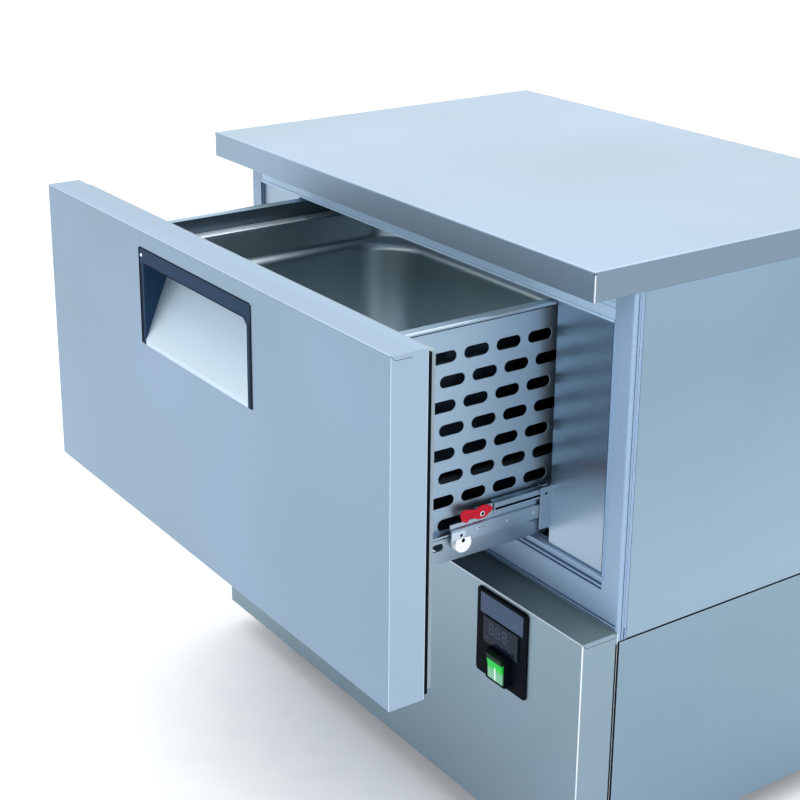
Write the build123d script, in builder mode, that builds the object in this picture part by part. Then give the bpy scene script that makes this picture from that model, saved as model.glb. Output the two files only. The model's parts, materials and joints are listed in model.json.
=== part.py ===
from build123d import *
import math
import os

# Overall sizes in millimetres, floor at z = 0, drawer pulled towards -Y
unit_width = 700.0
worktop_depth = 492.5
foot_height = 34.0
rest_pull = 222.5

# Sheet thicknesses and general clearances
outer_sheet = 1.2
liner_sheet = 0.8
panel_return = 15.0
seat_gap = 0.3
sliding_gap = 0.4
pivot_gap = 0.05
overrun = 5.0

# Worktop
worktop_edge = 29.6
worktop_sheet = 1.5
worktop_return = 14.0
worktop_bend = 2.2

# Front frame round the drawer opening
frame_top_rail = 35.1
frame_bottom_rail = 60.4
opening_height = 264.9
frame_side = 26.0
frame_depth = 12.3
frame_corner = 3.0
lip_width = 2.4
lip_proud = 1.5
groove_width = 1.4
groove_depth = 1.0
side_bead_set_in = 4.9
step_strip = 13.3

# Inner slide carriers and liner
duct_width = 84.0
carrier_set_back = 2.3
carrier_return = 18.0
back_wall = 57.2
carrier_end_gap = 6.0
liner_corner = 10.0
vent_length = 72.0
vent_width = 10.0
vent_pitch = 30.0
vent_end_margin = 50.0

# Drawer front
front_thickness = 39.0
front_gap_top = 5.4
front_gap_bottom = 5.8
front_corner = 1.5
gasket_room = 12.0
gasket_side_inset = 6.0
gasket_width = 15.0
gasket_top_inset = 6.0
gasket_bottom_inset = 5.5
gasket_foot = 4.0

# Handle moulding
handle_width = 235.0
handle_drop = 18.5
handle_height = 108.5
handle_bar = 17.5
handle_side = 9.0
handle_depth = 35.0
handle_corner = 5.0
handle_wall = 1.6
scoop_sheet = 1.0
scoop_flat = 5.5
scoop_top_land = 6.0

# Drawer box
slide_room = 13.0
box_sheet = 1.0
box_end_gap = 15.3
box_top_drop = 33.0
box_lip = 11.0
box_hem = 3.0
box_wall_bottom = 262.0
box_floor_land = 15.0
slot_length = 30.0
slot_width = 12.0
slot_pitch = 39.2
slot_stagger = 10.6
slot_row_pitch = 25.07
slot_rows = 8
first_row_drop = 69.2
first_slot_set_in = 30.0

# Pan
pan_sheet = 1.0
pan_flange_drop = 50.0
pan_flange_width = 19.0
pan_side_gap = 0.6
pan_front_gap = 21.0
pan_back_gap = 8.0
pan_stack_depth = 39.0
pan_stack_step = 6.0
pan_depth = 180.0
pan_rim_corner = 40.0
pan_well_corner = 60.0
pan_bottom_round = 22.0
pan_draft = 3.0
pan_support_leg = 8.0

# Telescopic slide, section sizes from the drawer front's top edge down
slide_top_drop = 231.0
slide_bottom_drop = 262.0
slide_sheet = 1.6
slide_flange = 8.2
slide_side_gap = 0.6
track_upper_drop = 241.0
track_lower_drop = 248.0
track_depth = 2.4
track_slope = 1.5
cabinet_rail_sheet = 1.4
cabinet_rail_top_drop = 227.1
cabinet_rail_bottom_drop = 277.4
cabinet_rail_flange = 10.0
cabinet_tab_reach = 13.0
cabinet_tab_top_drop = 229.0
cabinet_tab_bottom_drop = 275.0
cabinet_tab_hole = 3.0
bead_height = 3.2
bead_start = 48.0
intermediate_set_in = 1.0
intermediate_lead = 113.0
rail_strip_bottom_drop = 285.0
rail_strip_top_drop = 259.0
rail_strip_sheet = 2.0
rail_web_sheet = 1.2
rail_flange_top_drop = 252.2
rail_flange_sheet = 1.5
rail_flange_reach = 8.0
skid_set_in = 4.0
skid_length = 30.0
hook_place = 103.0
hook_length = 15.0
hook_height = 8.0

# Slide rollers
roller_radius = 10.0
roller_width = 5.4
roller_pin_radius = 2.0
roller_head_radius = 3.6
roller_head = 0.5
roller_groove = 1.2
front_roller_lead = 14.5
front_roller_drop = 264.0
cabinet_roller_set_in = 28.0
roller_ear_radius = 3.2
roller_side_gap = 0.3

# Release lever on the intermediate member
lever_sheet = 1.4
lever_length = 41.0
lever_height = 8.0
lever_lead = 11.0
lever_top_drop = 231.2
lever_pivot_lead = 38.0
lever_pivot_drop = 238.4
lever_rivet_radius = 1.5
lever_head_radius = 3.0
lever_head = 0.4
lever_grip = 12.0
lug_sheet = 1.6

# Machine compartment
machine_set_back = 6.4
machine_step = 10.0
pipe_room = 80.5
machine_return = 45.8
side_split_gap = 2.0
side_front_gap = 3.0
front_sheet = 1.2
top_strip_sheet = 1.5
end_tab_chamfer = 4.0
base_sheet = 1.5
base_upstand = 14.0
inlet_length = 150.0
louvre_margin = 30.0
louvre_length = 150.0
louvre_pitch = 20.0
louvre_gap = 22.0
grille_set_back = 10.0
louvre_slot = 7.0
louvre_reach = 6.0
louvre_sheet = 1.0

# Controls
bezel_side_gap = 81.0
bezel_width = 82.0
bezel_height = 98.5
bezel_top_gap = 5.0
bezel_proud = 2.0
bezel_corner = 4.0
bezel_rim = 3.0
bezel_flange = 3.0
controller_width = 62.0
controller_height = 52.0
controller_depth = 55.0
controller_drop = 5.0
surround_width = 38.0
surround_height = 32.0
surround_proud = 5.0
surround_drop = 63.5
rocker_width = 24.0
rocker_radius = 15.5
rocker_drop = 13.5
rocker_pivot_depth = 2.5
rocker_tail = 6.0
rocker_proud = 3.5
rocker_dish = 1.0
rocker_tilt = 6.0
rocker_pin_radius = 1.5
rocker_gap = 0.5

# Compressor
compressor_side_set_in = 145.0
compressor_back_set_in = 132.5
compressor_length = 190.0
compressor_width = 140.0
compressor_shell_height = 160.0
compressor_dome = 42.0
compressor_seam = 4.0
compressor_foot_span_x = 170.0
compressor_foot_span_y = 100.0
compressor_foot_sheet = 3.0
grommet_radius = 12.0
grommet_height = 14.0
grommet_bore = 4.0
terminal_width = 46.0
terminal_depth = 16.0

# Condenser with its fan
condenser_side_room = 140.0
compressor_side_room = 80.0
condenser_back_set_in = 67.5
condenser_top_room = 61.5
condenser_core = 50.0
condenser_fin_gap = 3.4
condenser_fin_count = 16
condenser_end_plate = 2.0
fin_depth = 8.0
tube_radius = 4.0
condenser_rows = 6
shroud_depth = 24.0
shroud_sheet = 1.5
fan_edge = 13.0
fan_tip_gap = 3.0
fan_hub_radius = 24.0
fan_hub_length = 16.0
fan_blades = 5
fan_blade_sheet = 1.5
fan_blade_pitch = 28.0
fan_bore = 3.0
fan_chord = 32.0
fan_arms = 3
motor_radius = 28.0
motor_length = 42.0
motor_arm = 8.0
motor_gap = 3.0

# Evaporator behind the left carrier
evaporator_length = 210.0
evaporator_height = 150.0
evaporator_core = 44.0
evaporator_back_set_in = 135.3
evaporator_rise = 119.6
evaporator_fin_count = 14
evaporator_fan_radius = 48.0
evaporator_hub_radius = 16.0
evaporator_hub_length = 12.0
evaporator_motor_radius = 15.0
evaporator_motor_length = 9.0
evaporator_shroud_depth = 22.0
evaporator_gap = 3.0
evaporator_chord = 20.0

# Pipes, drain tray and power entry
pipe_radius = 3.2
pipe_bend = 18.0
pipe_hole_gap = 1.0
tray_length = 180.0
tray_width = 120.0
tray_depth = 24.0
tray_sheet = 1.5
tray_side_set_in = 410.0
tray_front_set_in = 195.0
gland_set_in = 46.0
gland_radius = 11.0
gland_nut_radius = 14.0
gland_nut = 8.0
gland_bore = 4.0

# Adjustable feet
foot_inset_x = 92.0
foot_inset_y = 58.0
foot_base_radius = 21.0
foot_base_height = 8.0
foot_neck_radius = 13.0
foot_thread_radius = 6.0
foot_thread_rise = 26.0
foot_socket_wall = 3.0

# Places worked out from the sizes
half = unit_width / 2
back = (worktop_depth + rest_pull) / 2
worktop_front = back - worktop_depth
base_top = foot_height + base_sheet
frame_bottom = base_top + grommet_height + compressor_shell_height + pipe_room
opening_bottom = frame_bottom + frame_bottom_rail
opening_top = opening_bottom + opening_height
worktop_under = opening_top + frame_top_rail
unit_height = worktop_under + worktop_edge
front_top = worktop_under - front_gap_top
machine_top = frame_bottom + machine_step
front_bottom = machine_top + front_gap_bottom
drawer_face = worktop_front - rest_pull
front_back = drawer_face + front_thickness
frame_face = worktop_front + front_thickness + gasket_room
frame_back = frame_face + frame_depth
opening_half = half - frame_side
slide_wall = opening_half - duct_width
cavity_back = back - back_wall
carrier_face = frame_face + carrier_set_back
carrier_back = cavity_back - carrier_end_gap
machine_face = worktop_front + machine_set_back
machine_side_top = frame_bottom - side_split_gap
slide_outer_half = slide_wall - cabinet_rail_sheet - slide_side_gap
box_half = slide_wall - slide_room
box_length = cavity_back - box_end_gap - worktop_front - front_thickness
box_back = front_back + box_length
pan_length = box_length - pan_front_gap - pan_back_gap
gasket_outer_half = half - gasket_side_inset
condenser_y = back - condenser_back_set_in
compressor_x = half - compressor_side_set_in
compressor_y = back - compressor_back_set_in
condenser_left = condenser_side_room - half
condenser_right = compressor_x - compressor_length / 2 - compressor_side_room
condenser_x = (condenser_left + condenser_right) / 2
condenser_width = condenser_right - condenser_left
evaporator_y = cavity_back - evaporator_back_set_in
evaporator_z = opening_bottom + evaporator_rise


def slab(x_span, y_span, z_span, mode=Mode.ADD):
    """A rectangular block between two corners, in the part being built."""
    middle = [sum(span) / 2 for span in (x_span, y_span, z_span)]
    size = [max(span) - min(span) for span in (x_span, y_span, z_span)]
    with Locations(tuple(middle)):
        Box(*size, mode=mode)


def folded_sheet(outline, thickness, side=Side.LEFT):
    """A face as thick as the sheet, beside the line of its folds."""
    with BuildLine() as fold:
        Polyline(*outline)
        offset(amount=thickness, side=side, kind=Kind.INTERSECTION)
    make_face(fold.edges())


def across(place):
    """The upright plane at a place along Y, with X to the right and Z up."""
    return Plane.XZ.offset(-place)


def upright(place):
    """The upright plane at a place along X, with Y to the right and Z up."""
    return Plane.YZ.offset(place)


def level(place):
    """The level plane at a height."""
    return Plane.XY.offset(place)


# Worktop, a pressed tray with turned-in edges
with BuildPart() as worktop:
    slab((-half, half), (worktop_front, back), (worktop_under, unit_height))
    fillet(worktop.faces().sort_by(Axis.Z)[-1].edges(), worktop_bend)
    slab(
        (-half + worktop_sheet, half - worktop_sheet),
        (worktop_front + worktop_sheet, back - worktop_sheet),
        (worktop_under + worktop_sheet, unit_height - worktop_sheet),
        mode=Mode.SUBTRACT,
    )
    slab(
        (-half + worktop_return, half - worktop_return),
        (worktop_front + worktop_return, back - worktop_return),
        (worktop_under - overrun, worktop_under + overrun),
        mode=Mode.SUBTRACT,
    )

# Front frame stiles with a raised inner lip and a grooved side
with BuildPart() as frame_stile_right:
    with BuildSketch(level(frame_bottom)) as stile_plan:
        with BuildLine():
            Polyline(
                (opening_half, frame_face - lip_proud),
                (opening_half + lip_width, frame_face - lip_proud),
                (opening_half + lip_width, frame_face),
                (half, frame_face),
                (half, frame_back),
                (opening_half, frame_back),
                close=True,
            )
        make_face()
        outer_corner = stile_plan.vertices().group_by(Axis.X)[-1].sort_by(Axis.Y)[0]
        fillet(outer_corner, frame_corner)
        with Locations((half, frame_face + side_bead_set_in)):
            Rectangle(groove_depth * 2, groove_width, mode=Mode.SUBTRACT)
    extrude(amount=worktop_under - frame_bottom)
    lip_front = (frame_face - lip_proud - overrun, frame_face)
    lip_side = (opening_half - overrun, half)
    slab(lip_side, lip_front, (opening_top + lip_width, unit_height), Mode.SUBTRACT)
    slab(lip_side, lip_front, (foot_height, opening_bottom - lip_width), Mode.SUBTRACT)

with BuildPart() as frame_stile_left:
    mirror(frame_stile_right.part, about=Plane.YZ)

# Front frame rails between the stiles
with BuildPart() as frame_rail_top:
    with BuildSketch(upright(-opening_half)):
        with BuildLine():
            Polyline(
                (frame_face, worktop_under),
                (frame_face, opening_top + lip_width),
                (frame_face - lip_proud, opening_top + lip_width),
                (frame_face - lip_proud, opening_top),
                (frame_back, opening_top),
                (frame_back, worktop_under),
                close=True,
            )
        make_face()
        groove_middle = (opening_top + lip_width + worktop_under) / 2
        with Locations((frame_face, groove_middle), (frame_face, groove_middle - lip_width * 2)):
            Rectangle(groove_depth * 2, groove_width, mode=Mode.SUBTRACT)
    extrude(amount=opening_half * 2)

with BuildPart() as frame_rail_bottom:
    with BuildSketch(upright(-opening_half)):
        with BuildLine():
            Polyline(
                (frame_face, frame_bottom),
                (frame_face, opening_bottom - lip_width),
                (frame_face - lip_proud, opening_bottom - lip_width),
                (frame_face - lip_proud, opening_bottom),
                (frame_back, opening_bottom),
                (frame_back, frame_bottom),
                close=True,
            )
        make_face()
        with Locations((frame_face, opening_bottom - step_strip)):
            Rectangle(groove_depth * 2, groove_width * 2, mode=Mode.SUBTRACT)
        with Locations((frame_face, frame_bottom + step_strip)):
            Rectangle(groove_depth * 2, groove_width, mode=Mode.SUBTRACT)
    extrude(amount=opening_half * 2)

# Outer side panels, folded in front and behind
panel_back = back - outer_sheet
with BuildPart() as side_panel_right:
    with BuildSketch(level(frame_bottom)):
        folded_sheet(
            [
                (half - panel_return, frame_back),
                (half, frame_back),
                (half, panel_back),
                (half - panel_return, panel_back),
            ],
            outer_sheet,
        )
    extrude(amount=worktop_under - frame_bottom)

with BuildPart() as side_panel_left:
    mirror(side_panel_right.part, about=Plane.YZ)

# Outer back panel over the folds of the side panels
with BuildPart() as back_panel:
    slab((-half, half), (panel_back, back), (frame_bottom, worktop_under))

# Deck plate between the cold cabinet and the machine compartment
foam_front = frame_back + outer_sheet
foam_back = panel_back - outer_sheet
inner_half = half - outer_sheet
suction_x = -(slide_wall + opening_half) / 2
suction_y = evaporator_y + evaporator_length / 4
liquid_x = suction_x - pipe_bend
liquid_y = suction_y + pipe_bend * 1.5
pipe_hole = pipe_radius + pipe_hole_gap

with BuildPart() as deck_plate:
    slab((-inner_half, inner_half), (foam_front, foam_back), (frame_bottom, frame_bottom + outer_sheet))
    with Locations((suction_x, suction_y, frame_bottom), (liquid_x, liquid_y, frame_bottom)):
        Hole(pipe_hole)

# Insulation, foamed round the liner and up into the worktop
liner_outer = opening_half + liner_sheet
liner_outer_back = cavity_back + liner_sheet
with BuildPart() as insulation_foam:
    slab(
        (-inner_half, inner_half),
        (foam_front, foam_back),
        (frame_bottom + outer_sheet, worktop_under),
    )
    slab(
        (-half + worktop_return, half - worktop_return),
        (foam_front, back - worktop_return),
        (worktop_under, worktop_under + worktop_sheet),
    )
    slab(
        (-half + worktop_sheet, half - worktop_sheet),
        (worktop_front + worktop_sheet, back - worktop_sheet),
        (worktop_under + worktop_sheet, unit_height - worktop_sheet),
    )
    slab(
        (-liner_outer, liner_outer),
        (foam_front - overrun, liner_outer_back),
        (opening_bottom - liner_sheet, opening_top + liner_sheet),
        mode=Mode.SUBTRACT,
    )
    with Locations((suction_x, suction_y, 0), (liquid_x, liquid_y, 0)):
        Cylinder(pipe_hole, opening_bottom * 2, mode=Mode.SUBTRACT)

# Inner liner: one wrap for the sides and back, a roof and a floor
with BuildPart() as liner_wrap:
    with BuildSketch(level(opening_bottom)):
        with BuildLine():
            FilletPolyline(
                (-opening_half, frame_back),
                (-opening_half, cavity_back),
                (opening_half, cavity_back),
                (opening_half, frame_back),
                radius=liner_corner,
            )
            offset(amount=liner_sheet, side=Side.LEFT)
        make_face()
    extrude(amount=opening_height)

with BuildPart() as liner_roof:
    slab(
        (-liner_outer, liner_outer),
        (frame_back, liner_outer_back),
        (opening_top, opening_top + liner_sheet),
    )

with BuildPart() as liner_floor:
    slab(
        (-liner_outer, liner_outer),
        (frame_back, liner_outer_back),
        (opening_bottom - liner_sheet, opening_bottom),
    )
    with Locations((suction_x, suction_y, opening_bottom), (liquid_x, liquid_y, opening_bottom)):
        Hole(pipe_hole)

# Slide carriers, folded walls with a front flange and air slots
carrier_outer = opening_half - seat_gap
with BuildPart() as carrier_right:
    with BuildSketch(level(opening_bottom)):
        folded_sheet(
            [
                (carrier_outer, carrier_face + carrier_return),
                (carrier_outer, carrier_face),
                (slide_wall, carrier_face),
                (slide_wall, carrier_back),
                (slide_wall + carrier_return, carrier_back),
            ],
            outer_sheet,
            Side.RIGHT,
        )
    extrude(amount=opening_height)
    vent_middle = (carrier_face + carrier_back) / 2
    vent_count = int((carrier_back - carrier_face - vent_end_margin * 2) / vent_pitch)
    vent_height = opening_top - vent_length
    with BuildSketch(upright(slide_wall - overrun)):
        with Locations((vent_middle, vent_height)):
            with GridLocations(vent_pitch, 0, vent_count, 1):
                SlotOverall(vent_length, vent_width, rotation=90)
    extrude(amount=overrun * 2, mode=Mode.SUBTRACT)

with BuildPart() as carrier_left:
    mirror(carrier_right.part, about=Plane.YZ)


def below_top(drop):
    """The height of a place measured down from the drawer front's top edge."""
    return front_top - drop


# Cabinet member of each slide, a channel with a guide bead and a front tab
cabinet_rail_front = carrier_face
cabinet_rail_back = carrier_back
cabinet_web_inner = slide_wall - cabinet_rail_sheet
track_middle = below_top((track_upper_drop + track_lower_drop) / 2)
rest_front = front_back + intermediate_lead
cabinet_roller_y = cabinet_rail_front + cabinet_roller_set_in
intermediate_bottom = below_top(slide_bottom_drop)
cabinet_roller_z = intermediate_bottom - sliding_gap - roller_radius
roller_outer = slide_outer_half - slide_sheet - roller_side_gap
roller_inner = roller_outer - roller_width
pin_end = roller_inner - roller_head

with BuildPart() as cabinet_rail_right:
    with BuildSketch(across(cabinet_rail_front)):
        folded_sheet(
            [
                (slide_wall - cabinet_rail_flange, below_top(cabinet_rail_top_drop)),
                (slide_wall, below_top(cabinet_rail_top_drop)),
                (slide_wall, below_top(cabinet_rail_bottom_drop)),
                (slide_wall - cabinet_rail_flange, below_top(cabinet_rail_bottom_drop)),
            ],
            cabinet_rail_sheet,
            Side.RIGHT,
        )
    extrude(amount=cabinet_rail_front - cabinet_rail_back)
    slab(
        (slide_wall - cabinet_rail_flange - overrun, cabinet_web_inner),
        (cabinet_rail_front - overrun, cabinet_roller_y + roller_radius + overrun),
        (below_top(cabinet_rail_bottom_drop), cabinet_roller_z),
        mode=Mode.SUBTRACT,
    )
    with BuildSketch(upright(cabinet_web_inner)):
        tab_middle = (cabinet_tab_top_drop + cabinet_tab_bottom_drop) / 2
        with Locations((cabinet_rail_front - cabinet_tab_reach / 2 + overrun / 2, below_top(tab_middle))):
            Rectangle(cabinet_tab_reach + overrun, cabinet_tab_bottom_drop - cabinet_tab_top_drop)
        tab_hole_drop = cabinet_tab_top_drop + lever_grip
        with Locations((cabinet_rail_front - cabinet_tab_reach / 2, below_top(tab_hole_drop))):
            Circle(cabinet_tab_hole / 2, mode=Mode.SUBTRACT)
    extrude(amount=cabinet_rail_sheet)
    with BuildSketch(upright(cabinet_web_inner - track_depth + sliding_gap)):
        bead_from = cabinet_rail_front + bead_start
        with Locations(((bead_from + cabinet_rail_back) / 2, track_middle)):
            Rectangle(cabinet_rail_back - bead_from, bead_height)
    extrude(amount=track_depth)
    with BuildSketch(upright(pin_end)):
        with Locations((cabinet_roller_y, cabinet_roller_z)):
            Circle(roller_pin_radius)
    extrude(amount=slide_wall - pin_end)
    with BuildSketch(upright(roller_outer + roller_side_gap)):
        with Locations((cabinet_roller_y, cabinet_roller_z)):
            Circle(roller_head_radius)
    extrude(amount=cabinet_web_inner - roller_outer - roller_side_gap)

with BuildPart() as cabinet_rail_left:
    mirror(cabinet_rail_right.part, about=Plane.YZ)

# Intermediate member, a channel with a rolled track, pulled out half as far as the drawer
front_roller_y = rest_front + front_roller_lead
front_roller_z = below_top(front_roller_drop)
intermediate_length = box_length - intermediate_set_in
slide_web_inner = slide_outer_half - slide_sheet
flange_tip = slide_outer_half - slide_flange
upper_cut = lever_lead + lever_length + sliding_gap * 3
flange_cut = front_roller_lead + roller_radius + sliding_gap * 6
lever_pivot_y = rest_front + lever_pivot_lead
lever_pivot_z = below_top(lever_pivot_drop)
lug_outer = slide_outer_half - track_depth
lever_inner = lug_outer + sliding_gap
lever_outer = lever_inner + lever_sheet

with BuildPart() as intermediate_right:
    with BuildSketch(across(rest_front)):
        folded_sheet(
            [
                (flange_tip, below_top(slide_top_drop)),
                (slide_outer_half, below_top(slide_top_drop)),
                (slide_outer_half, below_top(track_upper_drop)),
                (slide_outer_half - track_depth, below_top(track_upper_drop + track_slope)),
                (slide_outer_half - track_depth, below_top(track_lower_drop - track_slope)),
                (slide_outer_half, below_top(track_lower_drop)),
                (slide_outer_half, below_top(slide_bottom_drop)),
                (flange_tip, below_top(slide_bottom_drop)),
            ],
            slide_sheet,
            Side.RIGHT,
        )
    extrude(amount=-intermediate_length)
    slab(
        (flange_tip - overrun, slide_outer_half + overrun),
        (rest_front - overrun, rest_front + upper_cut),
        (below_top(track_upper_drop + track_slope), below_top(slide_top_drop) + overrun),
        mode=Mode.SUBTRACT,
    )
    slab(
        (flange_tip - overrun, slide_web_inner),
        (rest_front - overrun, rest_front + flange_cut),
        (below_top(slide_bottom_drop) - overrun, below_top(slide_bottom_drop) + slide_sheet),
        mode=Mode.SUBTRACT,
    )
    lug_front = lever_pivot_y - lever_height
    lug_top = below_top(slide_top_drop) - slide_sheet / 2
    slab(
        (lug_outer - lug_sheet, lug_outer),
        (lug_front, rest_front + upper_cut + lever_height),
        (track_middle, lug_top),
    )
    with BuildSketch(upright(slide_web_inner)):
        with Locations((front_roller_y, front_roller_z)):
            Circle(roller_ear_radius)
    extrude(amount=slide_sheet)
    with BuildSketch(upright(pin_end)):
        with Locations((front_roller_y, front_roller_z)):
            Circle(roller_pin_radius)
    extrude(amount=slide_outer_half - pin_end)
    with BuildSketch(upright(lug_outer)):
        with Locations((lever_pivot_y, lever_pivot_z)):
            Circle(lever_rivet_radius)
    extrude(amount=lever_outer + roller_groove / 4 - lug_outer)
    with BuildSketch(upright(lever_outer + roller_groove / 4)):
        with Locations((lever_pivot_y, lever_pivot_z)):
            Circle(lever_head_radius)
    extrude(amount=lever_head)

with BuildPart() as intermediate_left:
    mirror(intermediate_right.part, about=Plane.YZ)


def slide_roller(middle_y, middle_z):
    """A grooved nylon roller with a bore for its pin, on the right side."""
    with BuildPart() as roller:
        with BuildSketch(Plane((0, middle_y, middle_z), x_dir=(1, 0, 0), z_dir=(0, -1, 0))):
            with BuildLine():
                Polyline(
                    (roller_inner, roller_pin_radius + pivot_gap),
                    (roller_inner, roller_radius - roller_groove / 2),
                    (roller_inner + roller_groove / 2, roller_radius),
                    (roller_outer - roller_groove / 2, roller_radius),
                    (roller_outer, roller_radius - roller_groove / 2),
                    (roller_outer, roller_pin_radius + pivot_gap),
                    close=True,
                )
            make_face()
        revolve(axis=Axis((0, middle_y, middle_z), (1, 0, 0)))
    return roller


front_roller_right = slide_roller(front_roller_y, front_roller_z)
cabinet_roller_right = slide_roller(cabinet_roller_y, cabinet_roller_z)

with BuildPart() as front_roller_left:
    mirror(front_roller_right.part, about=Plane.YZ)

with BuildPart() as cabinet_roller_left:
    mirror(cabinet_roller_right.part, about=Plane.YZ)

# Release levers riveted to the intermediate members
with BuildPart() as release_lever_right:
    with BuildSketch(upright(lever_inner)):
        lever_front = rest_front + lever_lead
        lever_back = lever_front + lever_length
        lever_top = below_top(lever_top_drop)
        with BuildLine():
            Polyline(
                (lever_front, lever_top - lever_height / 4),
                (lever_front + lever_height / 4, lever_top),
                (lever_back, lever_top),
                (lever_back, lever_top - lever_height / 2),
                (lever_pivot_y, lever_top - lever_height),
                (lever_front + lever_grip, lever_top - lever_height),
                (lever_front, lever_top - lever_height / 2),
                close=True,
            )
        make_face()
        with Locations((lever_pivot_y, lever_pivot_z)):
            Circle(lever_head_radius + lever_rivet_radius)
            Circle(lever_rivet_radius + pivot_gap, mode=Mode.SUBTRACT)
    extrude(amount=lever_sheet)

with BuildPart() as release_lever_left:
    mirror(release_lever_right.part, about=Plane.YZ)

# Drawer rail under each side of the box, with a roller flange and a rear skid
skid_back = box_back - skid_set_in
skid_front = skid_back - skid_length
with BuildPart() as drawer_rail_right:
    with BuildSketch(across(front_back)):
        with BuildLine():
            Polyline(
                (box_half, below_top(rail_flange_top_drop)),
                (box_half + rail_flange_reach, below_top(rail_flange_top_drop)),
                (box_half + rail_flange_reach, below_top(rail_flange_top_drop) - rail_flange_sheet),
                (box_half + rail_web_sheet, below_top(rail_flange_top_drop) - rail_flange_sheet),
                (box_half + rail_web_sheet, below_top(rail_strip_top_drop)),
                (box_half + rail_strip_sheet, below_top(rail_strip_top_drop)),
                (box_half + rail_strip_sheet, below_top(rail_strip_bottom_drop)),
                (box_half, below_top(rail_strip_bottom_drop)),
                close=True,
            )
        make_face()
    extrude(amount=-box_length)
    skid_outer = slide_outer_half - track_depth - slide_sheet - sliding_gap
    skid_bottom = intermediate_bottom + slide_sheet + sliding_gap
    skid_top = below_top(slide_top_drop) - slide_sheet - sliding_gap
    slab((box_half, skid_outer), (skid_front, skid_back), (skid_bottom, skid_top))
    with BuildSketch(upright(box_half)):
        with Locations((front_back + hook_place, below_top(rail_strip_top_drop + hook_height))):
            SlotOverall(hook_length, hook_height)
    extrude(amount=rail_strip_sheet, mode=Mode.SUBTRACT)

with BuildPart() as drawer_rail_left:
    mirror(drawer_rail_right.part, about=Plane.YZ)

# Drawer front: outer skin, inner panel, filling and seal
with BuildPart() as front_skin:
    slab((-half, half), (drawer_face, front_back), (front_bottom, front_top))
    front_face = front_skin.faces().sort_by(Axis.Y)[0]
    fillet(front_face.edges(), front_corner)
    slab(
        (-inner_half, inner_half),
        (drawer_face + outer_sheet, front_back - outer_sheet),
        (front_bottom + outer_sheet, front_top - outer_sheet),
        mode=Mode.SUBTRACT,
    )
    slab(
        (-half + panel_return, half - panel_return),
        (front_back - outer_sheet - overrun, front_back + overrun),
        (front_bottom + panel_return, front_top - panel_return),
        mode=Mode.SUBTRACT,
    )
    handle_top = below_top(handle_drop)
    handle_bottom = handle_top - handle_height
    with BuildSketch(across(drawer_face - overrun)):
        with Locations((0, (handle_top + handle_bottom) / 2)):
            RectangleRounded(handle_width, handle_height, handle_corner)
    extrude(amount=-overrun - outer_sheet, mode=Mode.SUBTRACT)

with BuildPart() as front_inner:
    slab(
        (-half + panel_return + seat_gap, half - panel_return - seat_gap),
        (front_back - outer_sheet, front_back),
        (front_bottom + panel_return + seat_gap, front_top - panel_return - seat_gap),
    )

handle_half = handle_width / 2
with BuildPart() as front_foam:
    slab(
        (-inner_half, inner_half),
        (drawer_face + outer_sheet, front_back - outer_sheet),
        (front_bottom + outer_sheet, front_top - outer_sheet),
    )
    slab(
        (-handle_half - seat_gap, handle_half + seat_gap),
        (drawer_face, drawer_face + handle_depth + seat_gap),
        (handle_bottom - seat_gap, handle_top + seat_gap),
        mode=Mode.SUBTRACT,
    )

gasket_depth = gasket_room - sliding_gap
gasket_top = front_top - gasket_top_inset
gasket_bottom = front_bottom + gasket_bottom_inset
with BuildPart() as front_gasket:
    with BuildSketch(across(front_back)):
        with Locations((0, (gasket_top + gasket_bottom) / 2)):
            Rectangle(gasket_outer_half * 2, gasket_top - gasket_bottom)
            Rectangle(
                (gasket_outer_half - gasket_width) * 2,
                gasket_top - gasket_bottom - gasket_width * 2,
                mode=Mode.SUBTRACT,
            )
    extrude(amount=-gasket_depth)
    with BuildSketch(across(front_back + gasket_foot)):
        with Locations((0, (gasket_top + gasket_bottom) / 2)):
            Rectangle(gasket_outer_half * 2 + overrun, gasket_top - gasket_bottom + overrun)
            Rectangle(
                (gasket_outer_half - lip_proud) * 2,
                gasket_top - gasket_bottom - lip_proud * 2,
                mode=Mode.SUBTRACT,
            )
    extrude(amount=-gasket_foot / 2, mode=Mode.SUBTRACT)

# Handle moulding and its sheet scoop
bar_bottom = handle_top - handle_bar
pocket_half = handle_half - handle_side
pocket_back = drawer_face + handle_depth - handle_wall
scoop_line = [
    (drawer_face + scoop_sheet, handle_bottom),
    (drawer_face + scoop_sheet, handle_bottom + scoop_flat),
    (pocket_back, bar_bottom - scoop_top_land),
    (pocket_back, bar_bottom),
]
with BuildPart() as handle_frame:
    with BuildSketch(upright(-handle_half)):
        with BuildLine():
            Polyline(
                (drawer_face, handle_top),
                (drawer_face + handle_depth, handle_top),
                (drawer_face + handle_depth, bar_bottom - scoop_top_land),
                (drawer_face + scoop_sheet + handle_wall, handle_bottom),
                (drawer_face, handle_bottom),
                close=True,
            )
        make_face()
    extrude(amount=handle_width)
    with BuildSketch(upright(-pocket_half)):
        with BuildLine():
            Polyline(
                (drawer_face - overrun, handle_bottom - overrun),
                (drawer_face + scoop_sheet, handle_bottom - overrun),
                *scoop_line,
                (drawer_face - overrun, bar_bottom),
                close=True,
            )
        make_face()
    extrude(amount=pocket_half * 2, mode=Mode.SUBTRACT)
    depth_edges = handle_frame.edges().filter_by(Axis.Y).group_by(Axis.X)
    fillet(depth_edges[0] + depth_edges[-1], handle_corner + seat_gap)

with BuildPart() as handle_scoop:
    with BuildSketch(upright(-pocket_half)):
        folded_sheet(scoop_line, scoop_sheet, Side.LEFT)
    extrude(amount=pocket_half * 2)

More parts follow.
